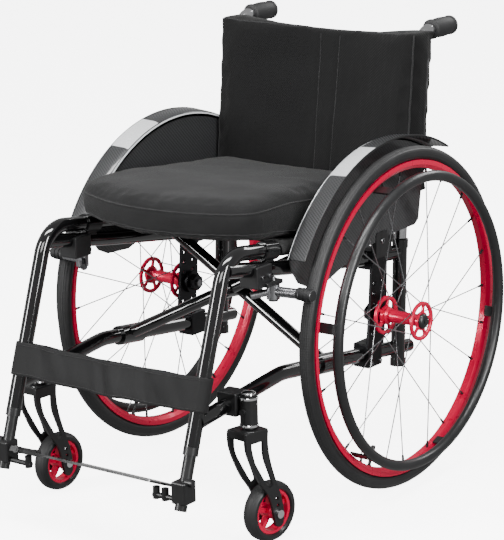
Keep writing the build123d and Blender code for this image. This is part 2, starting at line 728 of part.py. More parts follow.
def footplate():
    """A one-piece plate that flips up about a fore-and-aft hinge at its right edge."""
    x0 = PLATE_HINGE_X + KNUCKLE_R + 1.0
    face = Pos((x0 + PLATE_HALF) / 2, 0) * RectangleRounded(PLATE_HALF - x0, PLATE_DEPTH, 20.0)
    plane = Plane(origin=plate_point(0, 0, -PLATE_T / 2), x_dir=(1, 0, 0), z_dir=PLATE_N)
    slab = extrude(plane * face, amount=PLATE_T)
    barrel = rod(plate_point(PLATE_HINGE_X, -18, 0), plate_point(PLATE_HINGE_X, 18, 0), KNUCKLE_R - 0.5)
    link_plane = Plane(origin=plate_point(PLATE_HINGE_X + 6, 0, -PLATE_T / 2), x_dir=(1, 0, 0), z_dir=PLATE_N)
    link = extrude(link_plane * Rectangle(14, 36), amount=PLATE_T)
    bore = rod(plate_point(PLATE_HINGE_X, -60, 0), plate_point(PLATE_HINGE_X, 60, 0), 3.0 + RUN)
    return slab + barrel + link - bore


def foot_clamp():
    """A clamp on the leg extension with the knob of its bolt."""
    y = leg_y(CLAMP_Z)
    width = (FRONT_X - 14.0, FRONT_X + 14.0)
    clamp = block(width, (y - 15.0, y + 15.0), (CLAMP_Z - 17.0, CLAMP_Z + 20.0), 3.0)
    bolt = rod((FRONT_X + 6.0, y, CLAMP_Z + 18.0), (FRONT_X + 20.0, y, CLAMP_Z + 18.0), 6.0)
    return clamp + bolt - EXT_SOLID


def plate_rest(pads):
    """A rod from the clamp with upright studs, cut off just under the plate."""
    y = leg_y(CLAMP_Z) - 4.0
    rest = rod((178.0, y, REST_Z), (REST_END_X, y, REST_Z), 4.5)
    for x in pads:
        rest += rod((x, y, REST_Z - 6.0), (x, y, REST_Z + 14.0), 6.0)
    under = Plane(origin=plate_point(0, 0, -PLATE_T / 2 - 0.2), x_dir=(1, 0, 0), z_dir=PLATE_N)
    return rest - EXT_SOLID - extrude(under * Rectangle(500, 200), amount=60)


def footplate_hinge():
    """The right clamp with the two outer knuckles, the pin and the rest under the plate."""
    body = mirror(foot_clamp(), about=Plane.YZ)
    for s0, s1 in ((-30.0, -18.3), (18.3, 30.0)):
        body += rod(plate_point(PLATE_HINGE_X, s0, 0), plate_point(PLATE_HINGE_X, s1, 0), KNUCKLE_R)
        arm = Plane(origin=plate_point(PLATE_HINGE_X - 9.0, s0, 0), x_dir=(1, 0, 0), z_dir=PLATE_D)
        body += extrude(arm * Rectangle(18, 9), amount=s1 - s0)
    body += rod(plate_point(PLATE_HINGE_X, -31, 0), plate_point(PLATE_HINGE_X, 31, 0), 3.0)
    body -= mirror(EXT_SOLID, about=Plane.YZ)
    rest = mirror(plate_rest([REST_END_X + 6.0]), about=Plane.YZ)
    return (body + rest).solids().sort_by(SortBy.VOLUME)[-1]


def footplate_catch():
    """The left clamp with the rest for the plate's free edge."""
    rest = plate_rest([REST_END_X + 6.0, REST_END_X + 24.0])
    return (foot_clamp() + rest).solids().sort_by(SortBy.VOLUME)[-1]


parts["footplate"] = footplate()
parts["footplate_hinge"] = footplate_hinge()
parts["footplate_catch"] = footplate_catch()

# ------------------------------------------------------------------ soft parts
BACK_SPAN = (497.0, 764.0)         # lower and upper edge of the back upholstery
BACK_HALF = 207.0
BACK_DEPTH = 45.0                  # its front edges stand this far ahead of the canes


def seat_sling():
    """The seat fabric stretched over the two rails."""
    lift = RAIL_R + GAP
    y0, y1 = -266.0, 62.0
    profile = [
        (y0, rail_z(y0) + lift + 0.2),
        (y1, rail_z(y1) + lift + 0.2),
        (y1, rail_z(y1) + lift + 2.4),
        (y0, rail_z(y0) + lift + 2.4),
    ]
    return side_plate(profile, -FRONT_X - 8, FRONT_X + 8)


def seat_cushion():
    """The wedge-shaped cushion with a bowed front."""
    lift = RAIL_R + 5.2
    half, side_y, front_y, rear_y = 189.0, -318.0, -380.0, 80.0
    sides = Polyline((-half, side_y), (-half, rear_y), (half, rear_y), (half, side_y))
    bow = ThreePointArc((half, side_y), (0, front_y), (-half, side_y))
    slab = extrude(Pos(0, 0, 380) * make_face(sides + bow), amount=200)
    slab = fillet(slab.edges().filter_by(Axis.Z), 24.0)
    profile = [
        (-420.0, rail_z(-306.0) + lift + 2.0),
        (-306.0, rail_z(-306.0) + lift),
        (140.0, rail_z(140.0) + lift),
        (140.0, 512.0),
        (-200.0, 545.0),
        (-420.0, 549.0),
    ]
    return slab & side_plate(profile, -260.0, 260.0)


def backrest_cover():
    """The back upholstery: it wraps both canes and hangs back between them."""
    z0, z1 = BACK_SPAN
    lean = (cane_at(z1) - cane_at(z0)) / (z1 - z0)
    hang, thick = 52.0, 25.0
    front = ThreePointArc((-BACK_HALF, -BACK_DEPTH), (0, hang - BACK_DEPTH), (BACK_HALF, -BACK_DEPTH))
    wrap = REAR_X + CANE_R + 5.5
    wrap_y = CANE_R + 8.0
    back = ThreePointArc((wrap, wrap_y), (0, hang - BACK_DEPTH + thick), (-wrap, wrap_y))
    right = Polyline((-wrap, wrap_y), (-wrap, -CANE_R), (-BACK_HALF, -BACK_DEPTH))
    left = Polyline((BACK_HALF, -BACK_DEPTH), (wrap, -CANE_R), (wrap, wrap_y))
    section = Pos(0, cane_at(z0)) * make_face(Curve() + [front, left, back, right])
    slab = extrude(Pos(0, 0, z0) * section, amount=(z1 - z0), dir=Vector(0, lean, 1))
    ring = rod((REAR_X, cane_at(588), 588.0), (REAR_X, cane_at(608), 608.0), CANE_R + 5)
    grip_room = rod((REAR_X, 150.0, GRIP_Z), (REAR_X, 260.0, GRIP_Z), GRIP_R + 2)
    for keep in (bar(CANE_ROUTE, CANE_R + 4.6) + ring, grip_room):
        slab = slab - keep - mirror(keep, about=Plane.YZ)
    return slab.solids().sort_by(SortBy.VOLUME)[-1]


def calf_strap():
    """The calf strap: a wide band around both leg tubes."""
    z0, z1 = 250.0, 297.0
    mid = (z0 + z1) / 2
    along = Vector(0, LEG_SLOPE, 1).normalized()
    plane = Plane(origin=(0, leg_y(z0), z0), x_dir=(1, 0, 0), z_dir=along)
    outer = SlotOverall(2 * (FRONT_X + TUBE_R + 3.4), 2 * (TUBE_R + 3.4))
    inner = SlotOverall(2 * (FRONT_X + TUBE_R + 0.6), 2 * (TUBE_R + 0.6))
    return extrude(plane * (outer - inner), amount=(z1 - z0) / along.Z)


parts["seat_sling"] = seat_sling()
parts["seat_cushion"] = seat_cushion()
parts["backrest_cover"] = backrest_cover()
parts["calf_strap"] = calf_strap()


# ------------------------------------------------------------------ shared frame and export
def bounds(shapes):
    boxes = [s.bounding_box() for s in shapes]
    low = [min(getattr(b.min, a) for b in boxes) for a in "XYZ"]
    high = [max(getattr(b.max, a) for b in boxes) for a in "XYZ"]
    return low, high


LOW, HIGH = bounds(parts.values())
SHIFT_Y = -(LOW[1] + HIGH[1]) / 2

os.makedirs("parts", exist_ok=True)
for node, shape in parts.items():
    export_step(Pos(0, SHIFT_Y, 0) * shape, f"parts/{node}.step")
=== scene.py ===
"""The looks of a folding manual wheelchair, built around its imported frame.

Lengths in this file are millimetres measured from the rear axle: y = 0 is the axle, z = 0 is the
floor and x = 0 is the middle plane.  at() turns them into the frame's metres.
"""

import json
from math import cos, hypot, pi, radians, sin

import bmesh
import bpy
from mathutils import Matrix, Vector, noise
from mathutils.bvhtree import BVHTree


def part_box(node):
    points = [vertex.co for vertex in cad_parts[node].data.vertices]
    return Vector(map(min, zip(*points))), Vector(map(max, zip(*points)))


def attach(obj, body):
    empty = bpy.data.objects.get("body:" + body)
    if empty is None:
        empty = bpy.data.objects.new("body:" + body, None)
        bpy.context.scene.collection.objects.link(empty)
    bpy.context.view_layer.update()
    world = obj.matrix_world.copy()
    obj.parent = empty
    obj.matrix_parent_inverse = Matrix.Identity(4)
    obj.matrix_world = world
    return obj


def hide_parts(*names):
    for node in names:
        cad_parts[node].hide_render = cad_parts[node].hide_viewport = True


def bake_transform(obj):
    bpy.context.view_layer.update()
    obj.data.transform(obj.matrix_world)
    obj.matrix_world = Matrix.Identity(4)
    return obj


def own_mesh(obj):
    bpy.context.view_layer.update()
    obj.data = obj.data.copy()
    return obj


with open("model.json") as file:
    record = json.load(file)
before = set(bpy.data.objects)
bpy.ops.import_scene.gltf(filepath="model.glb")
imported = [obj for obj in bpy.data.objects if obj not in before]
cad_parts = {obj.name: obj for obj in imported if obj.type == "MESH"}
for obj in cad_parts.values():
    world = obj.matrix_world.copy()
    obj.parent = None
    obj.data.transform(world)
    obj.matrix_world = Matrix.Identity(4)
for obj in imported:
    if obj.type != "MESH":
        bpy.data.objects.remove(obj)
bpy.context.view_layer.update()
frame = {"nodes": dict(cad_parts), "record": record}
NODES = frame["nodes"]
MM = 0.001


def middle(node):
    low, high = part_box(node)
    return (Vector(low) + Vector(high)) / 2


AXLE = middle("left_wheel_tyre")
WHEEL_X = AXLE.x / MM
WHEEL_R = AXLE.z / MM


def at(x, y, z):
    """A point given in millimetres from the rear axle, in the frame's metres."""
    return Vector((x * MM, AXLE.y + y * MM, z * MM))


# ------------------------------------------------------------------ camera
def camera():
    """The photograph's point of view: ahead of the chair, to the user's left and above."""
    eye = at(2461, -3318, 1405)
    forward = Vector((-0.5864, 0.7709, -0.2485))
    right = Vector((0.7959, 0.6054, 0.0))
    up = Vector((-0.1504, 0.1978, 0.9686))
    roll = radians(-1.33)
    right, up = cos(roll) * right + sin(roll) * up, cos(roll) * up - sin(roll) * right
    data = bpy.data.cameras.new("camera")
    data.sensor_width = 36
    data.lens = 161.5
    data.clip_end = 50
    cam = bpy.data.objects.new("camera", data)
    turn = Matrix((right.normalized(), up.normalized(), -forward.normalized())).transposed()
    cam.matrix_world = Matrix.Translation(eye) @ turn.to_4x4()
    bpy.context.scene.collection.objects.link(cam)
    bpy.context.scene.camera = cam


camera()


# ------------------------------------------------------------------ material helpers
class Shader:
    """A Principled material and short ways to add nodes to it."""

    def __init__(self, name, color, roughness=0.5, metallic=0.0, **sockets):
        self.mat = bpy.data.materials.new(name)
        self.mat.use_nodes = True
        self.nodes = self.mat.node_tree.nodes
        self.links = self.mat.node_tree.links
        self.bsdf = self.nodes["Principled BSDF"]
        self.color = (*color, 1.0)
        self.set("Base Color", self.color)
        self.set("Roughness", roughness)
        self.set("Metallic", metallic)
        for key, value in sockets.items():
            self.set(key.replace("_", " "), value)
        self.coords = self.node("ShaderNodeTexCoord").outputs["Object"]

    def set(self, socket, value):
        self.bsdf.inputs[socket].default_value = value

    def node(self, kind, inputs=None, **settings):
        made = self.nodes.new(kind)
        for key, value in settings.items():
            setattr(made, key, value)
        for key, value in (inputs or {}).items():
            self.feed(made.inputs[key], value)
        return made

    def feed(self, socket, value):
        if isinstance(value, bpy.types.NodeSocket):
            self.links.new(value, socket)
        else:
            socket.default_value = value

    def math(self, operation, a, b=0.0, c=0.0):
        made = self.node("ShaderNodeMath", operation=operation)
        for i, value in enumerate((a, b, c)):
            self.feed(made.inputs[i], value)
        return made.outputs[0]

    def scaled(self, x, y, z):
        """Object coordinates times a scale, for stretched textures."""
        made = self.node("ShaderNodeMapping", {"Vector": self.coords, "Scale": (x, y, z)})
        return made.outputs[0]

    def axis(self, letter):
        split = self.node("ShaderNodeSeparateXYZ", {"Vector": self.coords})
        return split.outputs[letter]

    def noise(self, scale, detail=3.0, vector=None):
        made = self.node(
            "ShaderNodeTexNoise",
            {"Vector": vector or self.coords, "Scale": scale, "Detail": detail, "Roughness": 0.55},
        )
        return made.outputs["Fac"]

    def spread(self, value, low, high, a=0.0, b=1.0):
        """Maps value from a..b onto low..high."""
        made = self.node(
            "ShaderNodeMapRange",
            {"Value": value, "From Min": a, "From Max": b, "To Min": low, "To Max": high},
        )
        return made.outputs[0]

    def mix(self, factor, first, second):
        made = self.node("ShaderNodeMix", data_type="RGBA")
        self.feed(made.inputs["Factor"], factor)
        self.feed(made.inputs["A"], first)
        self.feed(made.inputs["B"], second)
        return made.outputs["Result"]

    def paint(self, value):
        self.feed(self.bsdf.inputs["Base Color"], value)

    def rough(self, value):
        self.feed(self.bsdf.inputs["Roughness"], value)

    def shade(self, factor, darker=0.7, lighter=1.3):
        """Varies the base colour between a darker and a lighter tone."""
        low = tuple(min(1.0, c * darker) for c in self.color[:3]) + (1.0,)
        high = tuple(min(1.0, c * lighter) for c in self.color[:3]) + (1.0,)
        self.paint(self.mix(factor, low, high))

    def bump(self, height, distance, strength):
        inputs = {"Height": height, "Distance": distance, "Strength": strength}
        last = self.bsdf.inputs["Normal"]
        if last.is_linked:
            inputs["Normal"] = last.links[0].from_socket
        made = self.node("ShaderNodeBump", inputs)
        self.links.new(made.outputs[0], last)


def lacquer(name, color, roughness):
    """Smooth gloss paint: faint orange peel, and a roughness that wanders with handling."""
    s = Shader(name, color, roughness, Coat_Weight=1.0, Coat_Roughness=0.03, Specular_IOR_Level=0.3)
    s.rough(s.spread(s.noise(22, 4), roughness * 0.7, roughness * 1.6, 0.35, 0.7))
    s.shade(s.noise(9, 3), 0.8, 1.35)
    s.bump(s.noise(45, 2), 0.00004, 0.15)
    return s.mat


def metal(name, color, roughness, brushed=(160, 160, 160)):
    """Bare metal.  brushed gives the scale along x, y and z of the brushing lines."""
    s = Shader(name, color, roughness, 1.0)
    grain = s.noise(1.0, 5, s.scaled(*brushed))
    s.rough(s.spread(grain, roughness * 0.65, roughness * 1.5, 0.3, 0.7))
    s.shade(s.noise(26, 3), 0.82, 1.12)
    s.bump(grain, 0.00003, 0.35)
    return s.mat


def moulded(name, color, roughness, grain=900, depth=0.00008):
    """Moulded plastic or powder coat with a fine leathery texture."""
    s = Shader(name, color, roughness, Specular_IOR_Level=0.45)
    pits = s.noise(grain, 4)
    s.rough(s.spread(s.noise(35, 4), roughness * 0.85, roughness * 1.2, 0.3, 0.7))
    s.shade(s.noise(40, 4), 0.75, 1.4)
    s.bump(pits, depth, 0.6)
    return s.mat


def anodised():
    """Red anodised aluminium with turned lines round the wheel axis."""
    s = Shader(
        "red_anodised", (0.56, 0.0, 0.04), 0.3, 0.25,
        Coat_Weight=0.2, Coat_Roughness=0.08, Specular_IOR_Level=0.25,
    )
    s.rough(s.spread(s.noise(60, 4), 0.24, 0.38, 0.3, 0.7))
    s.shade(s.noise(9, 2), 0.92, 1.08)
    s.bump(s.noise(1.0, 3, s.scaled(2600, 60, 60)), 0.00002, 0.25)
    return s.mat


def tyre_rubber(name, centre, crown_r, grooves):
    """Black rubber: fine circumferential ribs on the tread, smooth dusty sidewalls."""
    s = Shader(name, (0.008, 0.008, 0.0082), 0.5, Specular_IOR_Level=0.4)
    _, y, z = centre
    dy = s.math("SUBTRACT", s.axis("Y"), y)
    dz = s.math("SUBTRACT", s.axis("Z"), z)
    r = s.math("SQRT", s.math("ADD", s.math("MULTIPLY", dy, dy), s.math("MULTIPLY", dz, dz)))
    tread = s.spread(r, 0.0, 1.0, crown_r - 0.0065, crown_r - 0.003)
    s.rough(s.math("ADD", s.spread(tread, 0.36, 0.58), s.spread(s.noise(70, 4), -0.06, 0.08, 0.3, 0.7)))
    s.paint(s.mix(s.noise(30, 4), (0.005, 0.005, 0.0052, 1), (0.014, 0.014, 0.0145, 1)))
    if grooves:
        across = s.math("SINE", s.math("MULTIPLY", s.axis("X"), 2 * pi / 0.0034))
        angle = s.math("ARCTAN2", dy, dz)
        sipes = s.math("SINE", s.math("MULTIPLY", angle, 420.0))
        pattern = s.math("MULTIPLY", s.math("ADD", across, s.math("MULTIPLY", sipes, 0.35)), tread)
        s.bump(pattern, 0.0004, 0.55)
    ring = s.math("SINE", s.math("MULTIPLY", r, 2 * pi / 0.0042))
    s.bump(ring, 0.00012, 0.35)
    s.bump(s.noise(700, 3), 0.00006, 0.5)
    return s.mat


def carbon():
    """Clear-coated carbon in a two-by-two twill: the warp tows are painted lighter as painted sheen, and
    every tow is painted lightest along its crown as a painted highlight.
    """
    s = Shader(
        "carbon_twill", (0.01, 0.01, 0.011), 0.34,
        Coat_Weight=0.6, Coat_Roughness=0.06, Specular_IOR_Level=0.4,
    )
    tow = 0.0018
    repeat = 4.0
    above_zero = 1000 * repeat
    u = s.math("DIVIDE", s.math("ADD", s.axis("Y"), s.axis("X")), tow)
    v = s.math("DIVIDE", s.axis("Z"), tow)
    step = s.math("ADD", s.math("FLOOR", u), s.math("FLOOR", v))
    cell = s.math("MODULO", s.math("ADD", step, above_zero), repeat)
    warp = s.math("LESS_THAN", cell, 1.5)
    dome_u = s.math("SINE", s.math("MULTIPLY", s.math("FRACT", u), pi))
    dome_v = s.math("SINE", s.math("MULTIPLY", s.math("FRACT", v), pi))
    weft_dome = s.math("MULTIPLY", s.math("SUBTRACT", 1.0, warp), dome_v)
    height = s.math("ADD", s.math("MULTIPLY", warp, dome_u), weft_dome)
    # Painted sheen: warp tows lighter than weft tows; the dome height below adds a painted highlight along
    # each tow's crown.
    painted_warp_sheen = s.math("ADD", s.math("MULTIPLY", warp, 0.75), 0.12)
    tone = s.math("MULTIPLY", painted_warp_sheen, s.spread(height, 0.5, 1.0))
    s.paint(s.mix(tone, (0.0015, 0.0015, 0.0017, 1), (0.045, 0.046, 0.048, 1)))
    s.rough(s.spread(warp, 0.28, 0.5))
    s.bump(height, 0.0002, 0.5)
    return s.mat


def knit(name, color, pitch=0.0022, roughness=0.85, sheen=0.08):
    """Knitted cover cloth: rows of small loops, painted lighter on their tops and darker between them as
    painted highlight and painted shade, with soft sheen and slight fading.
    """
    s = Shader(name, color, roughness, Sheen_Weight=sheen, Sheen_Roughness=0.45, Specular_IOR_Level=0.18)
    k = 2 * pi / pitch
    a = s.math("SINE", s.math("MULTIPLY", s.math("ADD", s.axis("X"), s.axis("Z")), k))
    slanted = s.math("SUBTRACT", s.axis("Y"), s.math("MULTIPLY", s.axis("Z"), 0.5))
    b = s.math("SINE", s.math("MULTIPLY", slanted, k))
    loops = s.math("MULTIPLY", a, b)
    fading = s.spread(s.noise(18, 4), -0.2, 0.2, 0.3, 0.7)
    # The colour follows the loops' height: painted highlight on their tops and painted shade between them,
    # plus random fading.
    s.shade(s.math("ADD", s.spread(loops, 0.25, 0.75, -1.0, 1.0), fading), 0.55, 1.6)
    s.bump(loops, 0.00022, 0.7)
    s.bump(s.noise(60, 3), 0.0006, 0.35)
    return s.mat


def spacer_mesh(name, color):
    """Three-dimensional spacer mesh: staggered round holes, painted much darker as painted shade in the
    recesses.
    """
    s = Shader(name, color, 0.85, Sheen_Weight=0.05, Sheen_Roughness=0.5, Specular_IOR_Level=0.15)
    hole_pitch = 0.0034
    k = 2 * pi / hole_pitch / 1.4
    across = s.math("ADD", s.axis("X"), s.math("MULTIPLY", s.axis("Y"), 0.8))
    a = s.math("COSINE", s.math("MULTIPLY", s.math("ADD", across, s.axis("Z")), k))
    b = s.math("COSINE", s.math("MULTIPLY", s.math("SUBTRACT", across, s.axis("Z")), k))
    holes = s.spread(s.math("ADD", a, b), 0.0, 1.0, 0.2, 1.6)
    # The holes are painted darker as painted shade where they sink into the mesh.
    s.paint(s.mix(holes, (*color, 1), tuple(c * 0.22 for c in color) + (1,)))
    s.bump(s.math("SUBTRACT", 1.0, holes), 0.0005, 0.7)
    s.bump(s.noise(45, 3), 0.0006, 0.3)
    return s.mat


def webbing(name, color):
    """Woven nylon: ribs across and yarns along the strap, painted lighter where the weave rises and darker
    where it dips, as painted highlight and painted shade.
    """
    s = Shader(name, color, 0.68, Sheen_Weight=0.05, Sheen_Roughness=0.4, Specular_IOR_Level=0.2)
    yarn = 0.0019
    a = s.math("SINE", s.math("MULTIPLY", s.axis("X"), 2 * pi / yarn))
    b = s.math("SINE", s.math("MULTIPLY", s.axis("Z"), 2 * pi / (yarn * 0.8)))
    weave = s.math("MULTIPLY", a, b)
    # The colour follows the weave's height: painted highlight on the raised yarns and painted shade in the
    # dips.
    s.shade(s.spread(weave, 0.0, 1.0, -1.0, 1.0), 0.6, 1.5)
    s.bump(weave, 0.00018, 0.7)
    s.bump(s.noise(26, 4), 0.0012, 0.4)
    return s.mat


def foam(name, color, roughness=0.9):
    """Closed-cell foam or matt rubber with a pitted skin."""
    s = Shader(name, color, roughness, Specular_IOR_Level=0.3)
    cells = s.node("ShaderNodeTexVoronoi", {"Vector": s.coords, "Scale": 620.0}).outputs["Distance"]
    s.shade(s.noise(90, 4), 0.7, 1.35)
    s.bump(cells, 0.0003, 0.6)
    return s.mat


def painted_lip_shine():
    """A pale, slightly metallic skin with a fine honeycomb of cells in its colour and relief; on the guards
    it is painted reflection and painted highlight.
    """
    s = Shader("painted_lip_shine", (0.62, 0.63, 0.64), 0.3, 0.35, Specular_IOR_Level=0.6)
    cells = s.node("ShaderNodeTexVoronoi", {"Vector": s.coords, "Scale": 420.0}).outputs["Distance"]
    s.shade(cells, 0.85, 1.15)
    s.bump(cells, 0.0001, 0.4)
    return s.mat


MATERIALS = {
    "frame_black": lacquer("frame_black", (0.002, 0.002, 0.0022), 0.12),
    "cane_metal": metal("cane_metal", (0.62, 0.62, 0.63), 0.12, (40, 40, 900)),
    "matte_black": moulded("matte_black", (0.006, 0.006, 0.0063), 0.34),
    "plastic_black": moulded("plastic_black", (0.007, 0.007, 0.0073), 0.4),
    "grip_rubber": foam("grip_rubber", (0.012, 0.012, 0.0125), 0.6),
    "foam_grey": foam("foam_grey", (0.05, 0.05, 0.052)),
    "plate_black": metal("plate_black", (0.03, 0.03, 0.032), 0.36, (60, 60, 700)),
    "steel": metal("steel", (0.27, 0.27, 0.28), 0.26, (900, 60, 60)),
    "bright": metal("bright", (0.82, 0.82, 0.83), 0.07),
    "carbon": carbon(),
    "red_anodised": anodised(),
    "handrim_black": moulded("handrim_black", (0.009, 0.0092, 0.0096), 0.33, 500, 0.0001),
    "lock_grey": metal("lock_grey", (0.30, 0.30, 0.31), 0.28, (700, 60, 60)),
    "cushion_cloth": knit("cushion_cloth", (0.0062, 0.0062, 0.0064), sheen=0.05),
    "cushion_band": knit("cushion_band", (0.0062, 0.0062, 0.0064), 0.0017, 0.8),
    "back_mesh": spacer_mesh("back_mesh", (0.003, 0.003, 0.0031)),
    "strap_web": webbing("strap_web", (0.0065, 0.0065, 0.0067)),
    "seat_web": webbing("seat_web", (0.010, 0.010, 0.010)),
    # Pale material for the painted reflection and painted highlight on the guards' lips.
    "painted_lip_shine": painted_lip_shine(),
    "footplate_black": lacquer("footplate_black", (0.004, 0.004, 0.0043), 0.25),
    "thread": knit("thread", (0.012, 0.012, 0.0123), 0.0008, 0.7),
}
SLOT_OF = {s["node"]: s["material_slot"] for s in frame["record"]["subparts"]}


def dress(obj, mat):
    obj.data.materials.clear()
    obj.data.materials.append(mat)


def dress_frame():
    """Gives every CAD node the material of its slot, and the tyres their own."""
    for name, obj in NODES.items():
        slot_name = SLOT_OF[name]
        if slot_name == "tyre_black":
            centre = middle(name)
            low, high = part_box(name)
            crown = (high[2] - low[2]) / 2
            mat = tyre_rubber(name + "_rubber", centre, crown, "wheel" in name)
        else:
            mat = MATERIALS[slot_name]
        for i in range(len(obj.material_slots)):
            obj.material_slots[i].material = mat
        if not obj.material_slots:
            obj.data.materials.append(mat)


dress_frame()


# ------------------------------------------------------------------ stage
FLOOR_GLOW = 6.0
WORLD_GLOW = 0.42
STRIP_SIZE, STRIP_POWER = (0.42, 2.4), 150


def stage():
    """A plain pale floor and soft studio lights."""
    bpy.ops.mesh.primitive_plane_add(size=60, location=(0, 0, 0))
    floor = bpy.context.object
    floor.name = "floor"
    s = Shader("studio_floor", (0.8, 0.8, 0.8), 0.9, Specular_IOR_Level=0.1)
    s.set("Emission Color", (1, 1, 1, 1))
    s.set("Emission Strength", FLOOR_GLOW)
    floor.visible_diffuse = False
    floor.visible_glossy = False
    dress(floor, s.mat)
    world = bpy.data.worlds.new("studio")
    world.use_nodes = True
    back = world.node_tree.nodes["Background"]
    back.inputs["Color"].default_value = (1, 1, 1, 1)
    back.inputs["Strength"].default_value = WORLD_GLOW
    bpy.context.scene.world = world
    lamp("key", (1.6, -3.0, 2.6), (0, 0, 0.4), (1.5, 1.5), 70)
    lamp("camera_left_strip", (-1.4, -2.8, 1.7), (0, -0.2, 0.4), STRIP_SIZE, STRIP_POWER)
    lamp("camera_right_strip", (3.0, -0.9, 1.7), (0.2, -0.1, 0.4), STRIP_SIZE, STRIP_POWER)
    lamp("top_strip", (0.3, -0.6, 3.0), (0, 0, 0.4), (2.4, 0.5), 110)
    lamp("rear", (0.4, 2.8, 2.2), (0, 0, 0.4), (1.6, 0.8), 45)


def lamp(name, place, target, size, power):
    data = bpy.data.lights.new(name, "AREA")
    data.shape = "RECTANGLE"
    data.size, data.size_y = size
    data.energy = power
    obj = bpy.data.objects.new(name, data)
    obj.location = place
    aim = Vector(target) - Vector(place)
    obj.rotation_euler = aim.to_track_quat("-Z", "Y").to_euler()
    bpy.context.scene.collection.objects.link(obj)


stage()


# ------------------------------------------------------------------ mesh helpers
def mesh_object(name, verts, faces, *mats):
    """A smooth mesh piece from points in millimetres from the axle."""
    data = bpy.data.meshes.new(name)
    data.from_pydata([at(*v) for v in verts], [], faces)
    data.update()
    obj = bpy.data.objects.new(name, data)
    bpy.context.scene.collection.objects.link(obj)
    for mat in mats:
        data.materials.append(mat)
    data.shade_smooth()
    return obj


def grid(rows, loop=False):
    """Points and faces of equal rows.  With loop, each row closes on itself."""
    m = len(rows[0])
    faces = []
    for i in range(len(rows) - 1):
        for j in range(m if loop else m - 1):
            a, b = i * m + j, i * m + (j + 1) % m
            faces.append((a, b, b + m, a + m))
    return [p for row in rows for p in row], faces


def recalc(obj):
    """Turns all faces outward."""
    bm = bmesh.new()
    bm.from_mesh(obj.data)
    bmesh.ops.recalc_face_normals(bm, faces=bm.faces)
    bm.to_mesh(obj.data)
    bm.free()


def add_modifier(obj, kind, **settings):
    made = obj.modifiers.new(kind.lower(), kind)
    for key, value in settings.items():
        setattr(made, key, value)
    return made


def apply_modifiers(obj):
    """Makes the modifiers' result the mesh."""
    graph = bpy.context.evaluated_depsgraph_get()
    data = bpy.data.meshes.new_from_object(obj.evaluated_get(graph))
    obj.modifiers.clear()
    obj.data = data


def line(name, points, radius, mat, closed=False, resolution=3):
    """A round thread, wire or piping through points in millimetres from the axle."""
    curve = bpy.data.curves.new(name, "CURVE")
    curve.dimensions = "3D"
    curve.bevel_depth = radius * MM
    curve.bevel_resolution = resolution
    curve.use_fill_caps = True
    spline = curve.splines.new("POLY")
    spline.points.add(len(points) - 1)
    for point, place in zip(spline.points, points):
        point.co = (*at(*place), 1)
    spline.use_cyclic_u = closed
    obj = bpy.data.objects.new(name, curve)
    bpy.context.scene.collection.objects.link(obj)
    curve.materials.append(mat)
    return obj


CLOTH_FRAMES = 20


def inflate(obj, voxel, pressure, cap):
    """Swells a closed mesh as cloth under pressure.  No point moves further than cap."""
    add_modifier(obj, "REMESH", mode="VOXEL", voxel_size=voxel * MM, use_smooth_shade=True)
    apply_modifiers(obj)
    start = [v.co.copy() for v in obj.data.vertices]
    cloth = obj.modifiers.new("cloth", "CLOTH")
    s = cloth.settings
    s.quality = 5
    s.mass = 0.3
    s.tension_stiffness = 18
    s.compression_stiffness = 12
    s.shear_stiffness = 10
    s.bending_stiffness = 2.5
    s.use_pressure = True
    s.uniform_pressure_force = pressure
    s.effector_weights.gravity = 0
    cloth.collision_settings.use_collision = False
    cloth.collision_settings.use_self_collision = False
    scene = bpy.context.scene
    for f in range(1, CLOTH_FRAMES + 1):
        scene.frame_set(f)
    graph = bpy.context.evaluated_depsgraph_get()
    swollen = bpy.data.meshes.new_from_object(obj.evaluated_get(graph))
    obj.modifiers.clear()
    obj.data = swollen
    scene.frame_set(1)
    for v, origin in zip(obj.data.vertices, start):
        move = v.co - origin
        if move.length > cap * MM:
            v.co = origin + move.normalized() * cap * MM
    obj.data.shade_smooth()


def snapped(obj, points, lift):
    """Points in millimetres moved onto the surface of obj and lifted by a little."""
    bm = bmesh.new()
    bm.from_mesh(obj.data)
    tree = BVHTree.FromBMesh(bm)
    out = []
    for p in points:
        place, normal = tree.find_nearest(at(*p))[:2]
        place = place + normal * lift * MM
        out.append((place.x / MM, (place.y - AXLE.y) / MM, place.z / MM))
    bm.free()
    return out


def smooth_loop(points, spacing, reach):
    """Resamples a closed outline evenly and rounds its corners by averaging."""
    closed = points + [points[0]]
    dense = []
    for a, b in zip(closed, closed[1:]):
        steps = max(1, round(hypot(b[0] - a[0], b[1] - a[1]) / spacing))
        dense += [(a[0] + (b[0] - a[0]) * k / steps, a[1] + (b[1] - a[1]) * k / steps) for k in range(steps)]
    n = len(dense)
    half = max(1, round(reach / spacing / 2))
    window = range(-half, half + 1)
    for _ in range(3):
        dense = [
            tuple(sum(dense[(i + k) % n][axis] for k in window) / len(window) for axis in (0, 1))
            for i in range(n)
        ]
    return dense


# ------------------------------------------------------------------ seat cushion
CUSHION_HALF = 186
CUSHION_MID_Y = -120.0
CUSHION_TOP_Z, CUSHION_BASE_Z = 543.0, 484.0
TOP_BREAK_Y, TOP_SLOPE = -220, 0.092
BASE_BREAK_Y, RAIL_SLOPE = -306, 0.14
SEAM_DROP = 13.5


def arc_y(x, half, edge_y, bow):
    """A shallow bow across the front: edge_y at x = half, bow further forward in the middle."""
    return edge_y - bow * (1 - (x / half) ** 2)


def cushion_top(y):
    return CUSHION_TOP_Z - max(0, y - TOP_BREAK_Y) * TOP_SLOPE


def cushion_base(y):
    return CUSHION_BASE_Z - max(0, y - BASE_BREAK_Y) * RAIL_SLOPE


def cushion_outline():
    side, step = CUSHION_HALF, CUSHION_HALF // 6
    front = [(x, arc_y(x, side, -320, 58)) for x in range(-side, side + 1, step)]
    rear = [(side, 74), (100, 84), (0, 88), (-100, 84)]
    return smooth_loop([(-side, 74)] + front + rear, 9.0, 34.0)


